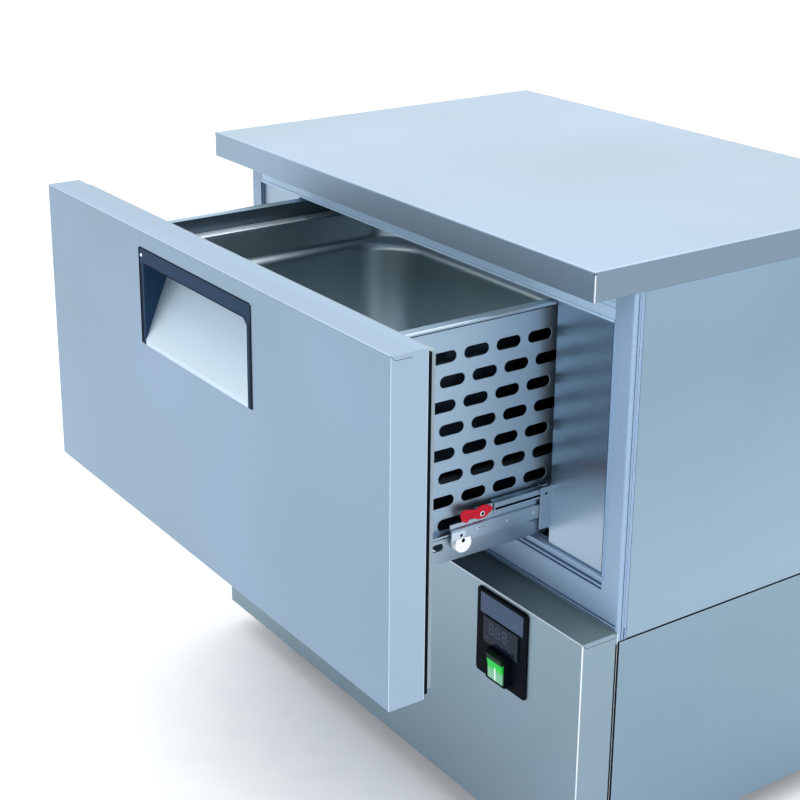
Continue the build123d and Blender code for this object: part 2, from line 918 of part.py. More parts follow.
# Perforated sides of the drawer box with an outward lip and a pan ledge
box_top = below_top(box_top_drop)
box_bottom = below_top(box_wall_bottom)
pan_flange_z = below_top(pan_flange_drop)
pan_ledge_z = pan_flange_z - pan_sheet
box_inner = box_half - box_sheet
with BuildPart() as box_side_right:
    with BuildSketch(across(front_back)):
        folded_sheet(
            [
                (box_half + box_lip, box_top - box_hem),
                (box_half + box_lip, box_top),
                (box_inner, box_top),
                (box_inner, box_bottom),
            ],
            box_sheet,
        )
    extrude(amount=-box_length)
    with BuildSketch(across(front_back)):
        folded_sheet(
            [
                (box_inner, pan_ledge_z - pan_support_leg),
                (box_inner, pan_ledge_z),
                (box_inner - pan_flange_width, pan_ledge_z),
            ],
            box_sheet,
        )
    extrude(amount=box_sheet - box_length)
    slot_room = box_length - first_slot_set_in - slot_stagger - slot_length / 2
    slots_in_row = int(slot_room / slot_pitch) + 1
    for row in range(slot_rows):
        row_start = front_back + first_slot_set_in + (row % 2) * slot_stagger
        row_middle = row_start + (slots_in_row - 1) * slot_pitch / 2
        row_height = below_top(first_row_drop + row * slot_row_pitch)
        with BuildSketch(upright(box_half - overrun)):
            with Locations((row_middle, row_height)):
                with GridLocations(slot_pitch, 0, slots_in_row, 1):
                    SlotOverall(slot_length, slot_width)
        extrude(amount=overrun * 2, mode=Mode.SUBTRACT)

with BuildPart() as box_side_left:
    mirror(box_side_right.part, about=Plane.YZ)

# Floor and back of the drawer box, one folded sheet
with BuildPart() as box_base:
    with BuildSketch(upright(-box_inner)):
        folded_sheet(
            [
                (front_back, box_bottom + box_floor_land),
                (front_back, box_bottom),
                (box_back, box_bottom),
                (box_back, box_top),
            ],
            box_sheet,
        )
    extrude(amount=box_inner * 2)

# Pan with a hanging flange, a stacking shoulder and a drafted well
pan_half = box_inner - pan_side_gap
pan_front = front_back + pan_front_gap
pan_middle = pan_front + pan_length / 2
rim_half = pan_half - pan_flange_width
rim_length = pan_length - pan_flange_width * 2
shoulder_z = pan_flange_z - pan_stack_depth
well_depth = pan_depth - pan_stack_depth


def pan_form(inset):
    """The solid that fills the pan, drawn in by an inset on every side but the top."""
    with BuildPart() as form:
        with BuildSketch(level(pan_flange_z)):
            with Locations((0, pan_middle)):
                RectangleRounded((rim_half - inset) * 2, rim_length - inset * 2, pan_rim_corner - inset)
        extrude(amount=inset - pan_stack_depth)
        with BuildSketch(level(shoulder_z + inset)):
            with Locations((0, pan_middle)):
                RectangleRounded(
                    (rim_half - pan_stack_step - inset) * 2,
                    rim_length - (pan_stack_step + inset) * 2,
                    pan_well_corner - inset,
                )
        extrude(amount=-well_depth, taper=pan_draft)
        fillet(form.faces().sort_by(Axis.Z)[0].edges(), pan_bottom_round - inset)
    return form


pan_outside = pan_form(0)
pan_inside = pan_form(pan_sheet)
with BuildPart() as pan:
    with BuildSketch(level(pan_flange_z - pan_sheet)):
        with Locations((0, pan_middle)):
            Rectangle(pan_half * 2, pan_length)
    extrude(amount=pan_sheet)
    add(pan_outside.part)
    add(pan_inside.part, mode=Mode.SUBTRACT)

# Machine compartment base, a tray with air inlets and thread bosses
grille_face = back - grille_set_back
machine_back = grille_face - outer_sheet
foot_places = [
    (side * (half - foot_inset_x), place)
    for place in (worktop_front + foot_inset_y, back - foot_inset_y)
    for side in (-1, 1)
]
thread_hole = foot_thread_radius + pivot_gap
inlet_count = int(condenser_width / vent_pitch) + 1
with BuildPart() as base_tray:
    slab(
        (-inner_half, inner_half),
        (machine_face + front_sheet, machine_back),
        (foot_height, foot_height + base_upstand),
    )
    slab(
        (-inner_half + base_sheet, inner_half - base_sheet),
        (machine_face + front_sheet + base_sheet, machine_back - base_sheet),
        (base_top, unit_height),
        mode=Mode.SUBTRACT,
    )
    with Locations(*[(x, y, base_top + base_upstand / 2) for x, y in foot_places]):
        Cylinder(foot_thread_radius + foot_socket_wall, base_upstand)
    with Locations(*[(x, y, foot_height) for x, y in foot_places]):
        Cylinder(thread_hole, unit_height, mode=Mode.SUBTRACT)
    with BuildSketch(level(foot_height - overrun)):
        with Locations((condenser_x, worktop_front + inlet_length)):
            with GridLocations(vent_pitch, 0, inlet_count, 1):
                SlotOverall(inlet_length, vent_width, rotation=90)
    extrude(amount=overrun * 2, mode=Mode.SUBTRACT)

# Side panels of the machine compartment
machine_side_front = frame_face + side_front_gap
with BuildPart() as machine_side_right:
    with BuildSketch(level(foot_height)):
        folded_sheet(
            [
                (half - panel_return, machine_side_front),
                (half, machine_side_front),
                (half, machine_back),
                (half - panel_return, machine_back),
            ],
            outer_sheet,
        )
    extrude(amount=machine_side_top - foot_height)
    slab(
        (-half, inner_half),
        (machine_side_front - overrun, back),
        (0, foot_height + base_upstand + sliding_gap),
        mode=Mode.SUBTRACT,
    )

with BuildPart() as machine_side_left:
    mirror(machine_side_right.part, about=Plane.YZ)

# Louvred back grille with a hole for the cable gland
grille_middle = (foot_height + machine_side_top) / 2
gland_x = -half + gland_set_in
louvre_rows = int((machine_side_top - foot_height - louvre_margin * 2) / louvre_pitch)
louvre_columns = int((unit_width - louvre_margin * 2) / (louvre_length + louvre_gap))
gland_z = base_top + base_upstand * 2
with BuildPart() as back_grille:
    slab((-half, half), (machine_back, grille_face), (foot_height, machine_side_top))
    slots = GridLocations(louvre_length + louvre_gap, louvre_pitch, louvre_columns, louvre_rows)
    with BuildSketch(across(grille_face + overrun)):
        with Locations((0, grille_middle)):
            with GridLocations(louvre_length + louvre_gap, louvre_pitch, louvre_columns, louvre_rows):
                Rectangle(louvre_length, louvre_slot)
    extrude(amount=overrun * 2, mode=Mode.SUBTRACT)
    for place in slots.locations:
        louvre_x = place.position.X
        louvre_z = grille_middle + place.position.Y
        with BuildSketch(upright(louvre_x - louvre_length / 2)):
            with BuildLine():
                Polyline(
                    (grille_face, louvre_z + louvre_slot / 2),
                    (grille_face - louvre_reach, louvre_z - louvre_slot / 2),
                    (grille_face - louvre_reach - louvre_sheet, louvre_z - louvre_slot / 2),
                    (machine_back, louvre_z + louvre_slot / 2 + louvre_sheet),
                    close=True,
                )
            make_face()
        extrude(amount=louvre_length)
    with BuildSketch(across(grille_face + overrun)):
        with Locations((gland_x, gland_z)):
            Circle(gland_radius + pivot_gap)
    extrude(amount=overrun * 2, mode=Mode.SUBTRACT)

# Front panel of the machine compartment, folded round at both ends
control_x = half - bezel_side_gap - bezel_width / 2
control_top = machine_top - bezel_top_gap
control_z = control_top - bezel_height / 2
cutout_width = bezel_width - bezel_flange * 2
cutout_height = bezel_height - bezel_flange * 2
strip_under = machine_top - top_strip_sheet
with BuildPart() as machine_front:
    with BuildSketch(level(foot_height)):
        folded_sheet(
            [
                (-half + panel_return, machine_face + machine_return),
                (-half, machine_face + machine_return),
                (-half, machine_face),
                (half, machine_face),
                (half, machine_face + machine_return),
                (half - panel_return, machine_face + machine_return),
            ],
            front_sheet,
        )
    extrude(amount=machine_top - foot_height)
    slab(
        (-inner_half, inner_half),
        (machine_face + front_sheet, machine_face + machine_return + overrun),
        (frame_bottom - overrun, machine_top + overrun),
        mode=Mode.SUBTRACT,
    )
    slab(
        (-inner_half, inner_half),
        (machine_face + front_sheet, machine_face + machine_return + overrun),
        (0, foot_height + base_upstand + sliding_gap),
        mode=Mode.SUBTRACT,
    )
    with BuildSketch(upright(-half - overrun)):
        with BuildLine():
            Polyline(
                (machine_face + machine_return, machine_top),
                (machine_face + machine_return - end_tab_chamfer, machine_top),
                (machine_face + machine_return, machine_top - end_tab_chamfer),
                close=True,
            )
        make_face()
    extrude(amount=unit_width + overrun * 2, mode=Mode.SUBTRACT)
    with BuildSketch(across(machine_face - overrun)):
        with Locations((control_x, control_z)):
            Rectangle(cutout_width + pivot_gap * 2, cutout_height + pivot_gap * 2)
    extrude(amount=-overrun * 2, mode=Mode.SUBTRACT)

with BuildPart() as machine_top_strip:
    slab(
        (-inner_half, inner_half),
        (machine_face + front_sheet, frame_face),
        (strip_under, machine_top),
    )
    slab(
        (-inner_half, inner_half),
        (frame_face - outer_sheet, frame_face),
        (frame_bottom, strip_under),
    )

# Control bezel with a raised rim, a window and the rocker's surround
rocker_x = control_x
rocker_z = control_top - surround_drop - rocker_drop
rocker_pivot_y = machine_face - bezel_proud - surround_proud + rocker_pivot_depth
rocker_swing = rocker_radius + rocker_gap
rocker_room_half = rocker_width / 2 + rocker_gap
rocker_wall_back = rocker_pivot_y + rocker_tail + rocker_gap * 3
controller_top = control_top - controller_drop
controller_bottom = controller_top - controller_height
with BuildPart() as control_bezel:
    with BuildSketch(across(machine_face)):
        with Locations((control_x, control_z)):
            RectangleRounded(bezel_width, bezel_height, bezel_corner)
    extrude(amount=bezel_proud)
    with BuildSketch(across(machine_face)):
        with Locations((control_x, control_z)):
            Rectangle(cutout_width, cutout_height)
    extrude(amount=-front_sheet)
    with BuildSketch(across(machine_face - bezel_proud)):
        with Locations((control_x, control_top - bezel_rim / 2 - seat_gap)):
            SlotOverall(bezel_width - bezel_corner * 2, bezel_rim)
        with Locations((rocker_x, rocker_z)):
            RectangleRounded(surround_width, surround_height + rocker_gap * 4, bezel_corner)
    extrude(amount=bezel_rim / 2)
    with BuildSketch(across(machine_face - bezel_proud)):
        with Locations((rocker_x, rocker_z)):
            Rectangle(rocker_width + bezel_rim * 2, rocker_swing * 2 + bezel_rim)
    extrude(amount=surround_proud)
    slab(
        (rocker_x - rocker_room_half - bezel_rim, rocker_x + rocker_room_half + bezel_rim),
        (machine_face, rocker_wall_back),
        (rocker_z - rocker_swing - bezel_rim / 2, rocker_z + rocker_swing + bezel_rim / 2),
    )
    slab(
        (rocker_x - rocker_room_half, rocker_x + rocker_room_half),
        (machine_face - bezel_proud - surround_proud - overrun, rocker_wall_back + overrun),
        (rocker_z - rocker_swing, rocker_z + rocker_swing),
        mode=Mode.SUBTRACT,
    )
    slab(
        (control_x - controller_width / 2 - pivot_gap, control_x + controller_width / 2 + pivot_gap),
        (machine_face - bezel_proud - overrun, machine_face + overrun),
        (controller_bottom - pivot_gap, controller_top + pivot_gap),
        mode=Mode.SUBTRACT,
    )
    with BuildSketch(upright(rocker_x - rocker_room_half - bezel_rim / 2)):
        with Locations((rocker_pivot_y, rocker_z)):
            Circle(rocker_pin_radius + pivot_gap)
    extrude(amount=rocker_room_half * 2 + bezel_rim, mode=Mode.SUBTRACT)

with BuildPart() as controller:
    slab(
        (control_x - controller_width / 2, control_x + controller_width / 2),
        (machine_face - bezel_proud + seat_gap, machine_face + controller_depth),
        (controller_bottom, controller_top),
    )
    fillet(controller.faces().sort_by(Axis.Y)[-1].edges(), bezel_rim)

# Rocker of the lit power switch, resting in its on position
with BuildPart() as rocker:
    rocker_tilt_share = math.radians(rocker_tilt)
    rocker_plane = Plane(
        (rocker_x - rocker_width / 2, rocker_pivot_y, rocker_z),
        x_dir=(0, math.cos(rocker_tilt_share), math.sin(rocker_tilt_share)),
        z_dir=(1, 0, 0),
    )
    with BuildSketch(rocker_plane):
        with BuildLine():
            Polyline(
                (-rocker_pivot_depth - rocker_proud, rocker_radius),
                (-rocker_pivot_depth - rocker_proud + rocker_dish, 0),
                (-rocker_pivot_depth - rocker_proud, -rocker_radius),
                (rocker_tail, -rocker_radius),
                (rocker_tail, rocker_radius),
                close=True,
            )
        make_face()
        Circle(rocker_radius, mode=Mode.INTERSECT)
    extrude(amount=rocker_width)
    with BuildSketch(upright(rocker_x - rocker_room_half - bezel_rim / 4)):
        with Locations((rocker_pivot_y, rocker_z)):
            Circle(rocker_pin_radius)
    extrude(amount=rocker_room_half * 2 + bezel_rim / 2)

# Hermetic compressor: two pressed halves, a seam, feet, stubs and a terminal box
compressor_bottom = base_top + grommet_height
compressor_top = compressor_bottom + compressor_shell_height
stub_radius = pipe_radius + front_sheet
condenser_bottom = base_top + motor_gap
condenser_height = frame_bottom - condenser_top_room - condenser_bottom
fan_radius = min(condenser_height, condenser_width) / 2 - fan_edge
bend_pitch = condenser_height * 2 / condenser_rows
discharge_z = condenser_bottom + bend_pitch
discharge_x = compressor_x - compressor_length / 2 - compressor_seam * 2
riser_x = compressor_x + compressor_length / 8
run_z = frame_bottom - pipe_bend - pipe_radius
with BuildPart() as compressor:
    with BuildSketch(level(compressor_bottom)):
        with Locations((compressor_x, compressor_y)):
            Ellipse(compressor_length / 2, compressor_width / 2)
    extrude(amount=compressor_shell_height)
    fillet(compressor.faces().sort_by(Axis.Z)[-1].edges(), compressor_dome)
    fillet(compressor.faces().sort_by(Axis.Z)[0].edges(), compressor_dome / 2)
    with BuildSketch(level(compressor_bottom + compressor_shell_height / 2)):
        with Locations((compressor_x, compressor_y)):
            Ellipse(compressor_length / 2 + compressor_seam, compressor_width / 2 + compressor_seam)
    extrude(amount=compressor_seam)
    with BuildSketch(level(compressor_bottom)):
        with Locations((compressor_x, compressor_y)):
            RectangleRounded(
                compressor_foot_span_x + grommet_radius * 2,
                compressor_foot_span_y + grommet_radius * 2,
                grommet_radius,
            )
            with GridLocations(compressor_foot_span_x, compressor_foot_span_y, 2, 2):
                Circle(grommet_bore + pivot_gap, mode=Mode.SUBTRACT)
    extrude(amount=compressor_foot_sheet)
    with BuildSketch(upright(discharge_x)):
        with Locations((compressor_y, discharge_z)):
            Circle(stub_radius)
    extrude(amount=compressor_seam * 4)
    with BuildSketch(level(compressor_top - compressor_seam)):
        with Locations((riser_x, compressor_y)):
            Circle(stub_radius)
    extrude(amount=compressor_seam * 2)
    terminal_y = compressor_y - compressor_width / 2
    slab(
        (compressor_x - terminal_width / 2, compressor_x + terminal_width / 2),
        (terminal_y - terminal_depth, terminal_y + terminal_depth),
        (compressor_bottom + terminal_depth, compressor_bottom + terminal_depth + terminal_width),
    )

with BuildPart() as compressor_grommets:
    with Locations((compressor_x, compressor_y, base_top + grommet_height / 2)):
        with GridLocations(compressor_foot_span_x, compressor_foot_span_y, 2, 2):
            Cylinder(grommet_radius, grommet_height)
    with Locations((compressor_x, compressor_y, compressor_bottom + compressor_foot_sheet)):
        with GridLocations(compressor_foot_span_x, compressor_foot_span_y, 2, 2):
            Cylinder(grommet_bore, compressor_foot_sheet * 2)

# Condenser: a fin pack between end plates with return bends
condenser_middle = condenser_bottom + condenser_height / 2
condenser_front = condenser_y - condenser_core / 2
with BuildPart() as condenser:
    slab(
        (condenser_left, condenser_right),
        (condenser_front, condenser_front + condenser_core),
        (condenser_bottom, condenser_bottom + condenser_height),
    )
    fin_room = condenser_width - condenser_end_plate * 2
    with BuildSketch(across(condenser_front + condenser_core + overrun)):
        with Locations((condenser_x, condenser_middle)):
            with GridLocations(fin_room / condenser_fin_count, 0, condenser_fin_count, 1):
                Rectangle(condenser_fin_gap, condenser_height + overrun)
    extrude(amount=overrun + fin_depth, mode=Mode.SUBTRACT)
    for bend in range(condenser_rows // 2):
        bend_z = condenser_bottom + bend_pitch * (bend + 1 / 2)
        with BuildSketch(Plane((condenser_right, condenser_y, bend_z), x_dir=(0, 0, 1), z_dir=(1, 0, 0))):
            with Locations((bend_pitch / 4, 0)):
                Circle(tube_radius)
        revolve(axis=Axis((condenser_right, condenser_y, bend_z), (0, 1, 0)), revolution_arc=180)

# Fan shroud on the condenser with its motor held on three arms
fan_y = condenser_front - shroud_depth / 2
motor_front = fan_y - fan_hub_length / 2 - motor_gap - motor_length
ring_inner = fan_radius + fan_tip_gap
shroud_face = condenser_front - shroud_depth
with BuildPart() as condenser_shroud:
    slab(
        (condenser_left, condenser_right),
        (condenser_front - shroud_sheet, condenser_front),
        (condenser_bottom, condenser_bottom + condenser_height),
    )
    with BuildSketch(across(condenser_front)):
        with Locations((condenser_x, condenser_middle)):
            Circle(ring_inner + shroud_sheet)
    extrude(amount=shroud_depth)
    with BuildSketch(across(condenser_front + overrun)):
        with Locations((condenser_x, condenser_middle)):
            Circle(ring_inner)
    extrude(amount=shroud_depth + overrun * 2, mode=Mode.SUBTRACT)
    with BuildSketch(across(shroud_face + shroud_sheet)):
        with Locations((condenser_x, condenser_middle)):
            with PolarLocations((motor_radius + ring_inner) / 2, fan_arms, start_angle=90):
                Rectangle(ring_inner - motor_radius + motor_arm / 2, motor_arm)
    extrude(amount=shroud_sheet)
    with BuildSketch(across(motor_front)):
        with Locations((condenser_x, condenser_middle)):
            Circle(motor_radius)
    extrude(amount=-motor_length)
    fillet(condenser_shroud.faces().sort_by(Axis.Y)[0].edges(), motor_gap)
    with BuildSketch(across(motor_front + motor_length)):
        with Locations((condenser_x, condenser_middle)):
            Circle(fan_bore)
    extrude(amount=-fan_hub_length - motor_gap / 2)


def fan_wheel(centre, facing, tip_radius, hub_radius, hub_length, chord):
    """An axial fan with pitched blades round a bored hub."""
    with BuildPart() as wheel:
        blade_plane = Plane(centre, x_dir=(0, 0, 1), z_dir=facing)
        with BuildSketch(blade_plane.offset(-hub_length / 2)):
            Circle(hub_radius)
        extrude(amount=hub_length)
        blade_length = tip_radius - hub_radius + fan_blade_sheet
        with Locations(blade_plane):
            with PolarLocations(tip_radius - blade_length / 2, fan_blades):
                Box(blade_length, chord, fan_blade_sheet, rotation=(fan_blade_pitch, 0, 0))
        with BuildSketch(blade_plane):
            Circle(tip_radius)
        extrude(amount=hub_length, both=True, mode=Mode.INTERSECT)
        with BuildSketch(blade_plane.offset(-hub_length)):
            Circle(fan_bore + pivot_gap)
        extrude(amount=hub_length * 2, mode=Mode.SUBTRACT)
    return wheel


condenser_fan = fan_wheel(
    (condenser_x, fan_y, condenser_middle),
    (0, -1, 0),
    fan_radius,
    fan_hub_radius,
    fan_hub_length,
    fan_chord,
)

# Evaporator block with its shroud and fan motor, beside the left carrier
evaporator_out = -opening_half + evaporator_gap
evaporator_in = evaporator_out + evaporator_core
evaporator_front = evaporator_y - evaporator_length / 2
evaporator_bottom = evaporator_z - evaporator_height / 2
evaporator_ring = evaporator_fan_radius + fan_tip_gap
evaporator_ring_end = evaporator_in + evaporator_shroud_depth
evaporator_fan_x = evaporator_in + evaporator_shroud_depth / 2
with BuildPart() as evaporator:
    slab(
        (evaporator_out, evaporator_in),
        (evaporator_front, evaporator_front + evaporator_length),
        (evaporator_bottom, evaporator_bottom + evaporator_height),
    )
    with BuildSketch(upright(evaporator_in - fin_depth)):
        with Locations((evaporator_y, evaporator_z)):
            with GridLocations(evaporator_length / evaporator_fin_count, 0, evaporator_fin_count, 1):
                Rectangle(condenser_fin_gap, evaporator_height + overrun)
    extrude(amount=fin_depth, mode=Mode.SUBTRACT)
    with BuildSketch(upright(evaporator_in)):
        with Locations((evaporator_y, evaporator_z)):
            Rectangle(evaporator_length, evaporator_height)
            Circle(evaporator_ring, mode=Mode.SUBTRACT)
    extrude(amount=shroud_sheet)
    with BuildSketch(upright(evaporator_in)):
        with Locations((evaporator_y, evaporator_z)):
            Circle(evaporator_ring + shroud_sheet)
            Circle(evaporator_ring, mode=Mode.SUBTRACT)
    extrude(amount=evaporator_shroud_depth)
    with BuildSketch(upright(evaporator_ring_end)):
        with Locations((evaporator_y, evaporator_z)):
            with PolarLocations(evaporator_ring / 2, fan_arms):
                Rectangle(evaporator_ring + shroud_sheet * 2, motor_arm)
            Circle(evaporator_motor_radius)
    extrude(amount=shroud_sheet)
    with BuildSketch(upright(evaporator_ring_end)):
        with Locations((evaporator_y, evaporator_z)):
            Circle(evaporator_motor_radius)
    extrude(amount=evaporator_motor_length)
    with BuildSketch(upright(evaporator_in + shroud_sheet)):
        with Locations((evaporator_y, evaporator_z)):
            Circle(fan_bore)
    extrude(amount=evaporator_shroud_depth - shroud_sheet)

evaporator_fan = fan_wheel(
    (evaporator_fan_x, evaporator_y, evaporator_z),
    (1, 0, 0),
    evaporator_fan_radius,
    evaporator_hub_radius,
    evaporator_hub_length,
    evaporator_chord,
)


def copper_pipe(route):
    """A pipe bent along a route of straight runs."""
    path = FilletPolyline(*route, radius=pipe_bend)
    start = Plane(path @ 0, z_dir=path % 0)
    with BuildPart() as pipe:
        with BuildSketch(start):
            Circle(pipe_radius)
        sweep(path=path)
    return pipe


# Refrigerant pipes: discharge, suction and liquid lines
pipe_start_x = discharge_x - seat_gap
discharge_turn_x = (pipe_start_x + condenser_right) / 2
discharge_pipe = copper_pipe(
    [
        (pipe_start_x, compressor_y, discharge_z),
        (discharge_turn_x, compressor_y, discharge_z),
        (discharge_turn_x, condenser_y, discharge_z),
        (condenser_right + seat_gap, condenser_y, discharge_z),
    ]
)
suction_pipe = copper_pipe(
    [
        (riser_x, compressor_y, compressor_top + compressor_seam + seat_gap),
        (riser_x, compressor_y, run_z),
        (suction_x, suction_y, run_z),
        (suction_x, suction_y, evaporator_bottom - seat_gap),
    ]
)
liquid_z = condenser_bottom + condenser_height / 4
liquid_pipe = copper_pipe(
    [
        (condenser_left - seat_gap, condenser_y, liquid_z),
        (liquid_x, condenser_y, liquid_z),
        (liquid_x, liquid_y, liquid_z),
        (liquid_x, liquid_y, evaporator_bottom - seat_gap),
    ]
)
with BuildPart() as refrigerant_pipes:
    add(discharge_pipe.part)
    add(suction_pipe.part)
    add(liquid_pipe.part)

# Condensate tray on the base
tray_x = tray_side_set_in - half
tray_y = worktop_front + tray_front_set_in
with BuildPart() as condensate_tray:
    slab(
        (tray_x - tray_length / 2, tray_x + tray_length / 2),
        (tray_y - tray_width / 2, tray_y + tray_width / 2),
        (base_top, base_top + tray_depth),
    )
    tray_rim = condensate_tray.faces().sort_by(Axis.Z)[-1]
    offset(amount=-tray_sheet, openings=tray_rim)

# Cable gland in the back grille, with nothing in it
with BuildPart() as power_gland:
    with BuildSketch(across(grille_face)):
        with Locations((gland_x, gland_z)):
            RegularPolygon(gland_nut_radius, side_count=6)
    extrude(amount=-gland_nut)
    with BuildSketch(across(machine_back - gland_nut)):
        with Locations((gland_x, gland_z)):
            Circle(gland_radius)
    extrude(amount=-gland_nut - outer_sheet)
    with BuildSketch(across(machine_back - gland_nut - overrun)):
        with Locations((gland_x, gland_z)):
            Circle(gland_bore)
    extrude(amount=-gland_nut * 3 - overrun, mode=Mode.SUBTRACT)


def levelling_foot(place_x, place_y):
    """A round foot with a hexagon neck for a spanner and a plain-drawn thread."""
    foot_plane = Plane((place_x, place_y, 0), x_dir=(1, 0, 0), z_dir=(0, -1, 0))
    with BuildPart() as foot:
        with BuildSketch(foot_plane):
            with BuildLine():
                Polyline(
                    (0, 0),
                    (foot_base_radius, 0),
                    (foot_base_radius, foot_base_height / 2),
                    (foot_neck_radius, foot_base_height),
                    (foot_thread_radius, foot_base_height),
                    (foot_thread_radius, foot_height + foot_thread_rise),
                    (0, foot_height + foot_thread_rise),
                    close=True,
                )
            make_face()
        revolve(axis=Axis((place_x, place_y, 0), (0, 0, 1)))
        with BuildSketch(level(foot_base_height)):
            with Locations((place_x, place_y)):
                RegularPolygon(foot_neck_radius, side_count=6)
        extrude(amount=foot_height - seat_gap - foot_base_height)
    return foot


foot_names = ["foot_front_left", "foot_front_right", "foot_back_left", "foot_back_right"]
feet = {name: levelling_foot(*place) for name, place in zip(foot_names, foot_places)}

# Every piece under its name
pieces = {
    "worktop": worktop,
    "frame_rail_top": frame_rail_top,
    "frame_rail_bottom": frame_rail_bottom,
    "frame_stile_left": frame_stile_left,
    "frame_stile_right": frame_stile_right,
    "side_panel_left": side_panel_left,
    "side_panel_right": side_panel_right,
    "back_panel": back_panel,
    "deck_plate": deck_plate,
    "insulation_foam": insulation_foam,
    "liner_wrap": liner_wrap,
    "liner_roof": liner_roof,
    "liner_floor": liner_floor,
    "carrier_left": carrier_left,
    "carrier_right": carrier_right,
    "cabinet_rail_left": cabinet_rail_left,
    "cabinet_rail_right": cabinet_rail_right,
    "base_tray": base_tray,
    "machine_side_left": machine_side_left,
    "machine_side_right": machine_side_right,
    "back_grille": back_grille,
    "machine_front": machine_front,
    "machine_top_strip": machine_top_strip,
    "control_bezel": control_bezel,
    "controller": controller,
    "rocker": rocker,
    "compressor": compressor,
    "compressor_grommets": compressor_grommets,
    "condenser": condenser,
    "condenser_shroud": condenser_shroud,
    "condenser_fan": condenser_fan,
    "evaporator": evaporator,
    "evaporator_fan": evaporator_fan,
    "refrigerant_pipes": refrigerant_pipes,
    "condensate_tray": condensate_tray,
    "power_gland": power_gland,
    "front_skin": front_skin,
    "front_inner": front_inner,
    "front_foam": front_foam,
    "front_gasket": front_gasket,
    "handle_frame": handle_frame,
    "handle_scoop": handle_scoop,
    "box_side_left": box_side_left,
    "box_side_right": box_side_right,
    "box_base": box_base,
    "pan": pan,
    "drawer_rail_left": drawer_rail_left,
    "drawer_rail_right": drawer_rail_right,
    "intermediate_left": intermediate_left,
    "intermediate_right": intermediate_right,
    "front_roller_left": front_roller_left,
    "front_roller_right": front_roller_right,
    "cabinet_roller_left": cabinet_roller_left,
    "cabinet_roller_right": cabinet_roller_right,
    "release_lever_left": release_lever_left,
    "release_lever_right": release_lever_right,
    **feet,
}

os.makedirs("parts", exist_ok=True)
for name, piece in pieces.items():
    piece.part.label = name
    export_step(piece.part, f"parts/{name}.step")
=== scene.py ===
"""Refrigerated drawer counter: finishes, pressed details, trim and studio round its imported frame."""

import json
import math

import bmesh
import bpy
from mathutils import Matrix, Vector


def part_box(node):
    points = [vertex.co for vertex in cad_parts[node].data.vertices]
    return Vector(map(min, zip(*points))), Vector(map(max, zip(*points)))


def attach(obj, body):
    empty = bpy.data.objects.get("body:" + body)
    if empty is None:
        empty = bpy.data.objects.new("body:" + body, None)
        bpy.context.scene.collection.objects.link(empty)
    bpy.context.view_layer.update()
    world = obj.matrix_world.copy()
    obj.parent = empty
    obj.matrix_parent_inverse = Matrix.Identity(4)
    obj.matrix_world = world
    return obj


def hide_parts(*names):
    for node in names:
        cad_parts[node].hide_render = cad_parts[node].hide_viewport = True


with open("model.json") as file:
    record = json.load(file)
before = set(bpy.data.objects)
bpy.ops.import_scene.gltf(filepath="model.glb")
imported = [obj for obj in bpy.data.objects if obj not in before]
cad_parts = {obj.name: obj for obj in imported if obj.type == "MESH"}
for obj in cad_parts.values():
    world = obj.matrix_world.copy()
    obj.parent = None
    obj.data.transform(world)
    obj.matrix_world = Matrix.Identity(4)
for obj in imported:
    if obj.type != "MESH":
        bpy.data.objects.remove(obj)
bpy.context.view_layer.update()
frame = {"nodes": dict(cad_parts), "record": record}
cad = frame["nodes"]
node_slot = {part["node"]: part["material_slot"] for part in frame["record"]["subparts"]}
node_body = {node: body for body, nodes in frame["record"]["behaviour"]["bodies"].items() for node in nodes}
MM = 0.001
RIGHT, LEFT = 1, -1
STREAK_SHARE = 0.22  # how much of a brushed sheet's tone its streaks make, beside its slow drift
SHARE, FIRST, SECOND, MIXED = 0, 6, 7, 2  # sockets of a Mix node that mixes colours


# Finishes


def linear(hex_colour):
    """An sRGB hex colour as linear red, green, blue and full alpha."""
    channels = [int(hex_colour[at : at + 2], 16) / 255 for at in (1, 3, 5)]
    return tuple(c / 12.92 if c <= 0.04045 else ((c + 0.055) / 1.055) ** 2.4 for c in channels) + (1.0,)


def plug(tree, node, sockets):
    """Gives each named socket of a node a value or a link."""
    for name, value in sockets.items():
        if isinstance(value, bpy.types.NodeSocket):
            tree.links.new(value, node.inputs[name])
        else:
            node.inputs[name].default_value = value


def add(tree, kind, sockets=None, stops=(), **settings):
    """Adds a node with its settings, its sockets and, on a ramp, its stops of place and hex colour."""
    node = tree.nodes.new(kind)
    for name, value in settings.items():
        setattr(node, name, value)
    plug(tree, node, sockets or {})
    for at, (position, hex_colour) in enumerate(stops):
        node.color_ramp.elements[at].position = position
        node.color_ramp.elements[at].color = linear(hex_colour)
    return node


def finish(name):
    """A new material with its tree, its shader and the position on the object."""
    material = bpy.data.materials.new(name)
    material.use_nodes = True
    tree = material.node_tree
    place = add(tree, "ShaderNodeTexCoord").outputs["Object"]
    return material, tree, tree.nodes["Principled BSDF"], place


def facing(tree, axis):
    """1 where the surface faces along an axis, either way, and 0 where it doesn't."""
    normal = add(tree, "ShaderNodeNewGeometry").outputs["Normal"]
    along = add(tree, "ShaderNodeSeparateXYZ", {"Vector": normal}).outputs[axis]
    either = add(tree, "ShaderNodeMath", {0: along}, operation="ABSOLUTE").outputs[0]
    slanted, square = 0.3, 0.8
    bounds = {"Value": either, "From Min": slanted, "From Max": square}
    return add(tree, "ShaderNodeMapRange", bounds).outputs["Result"]


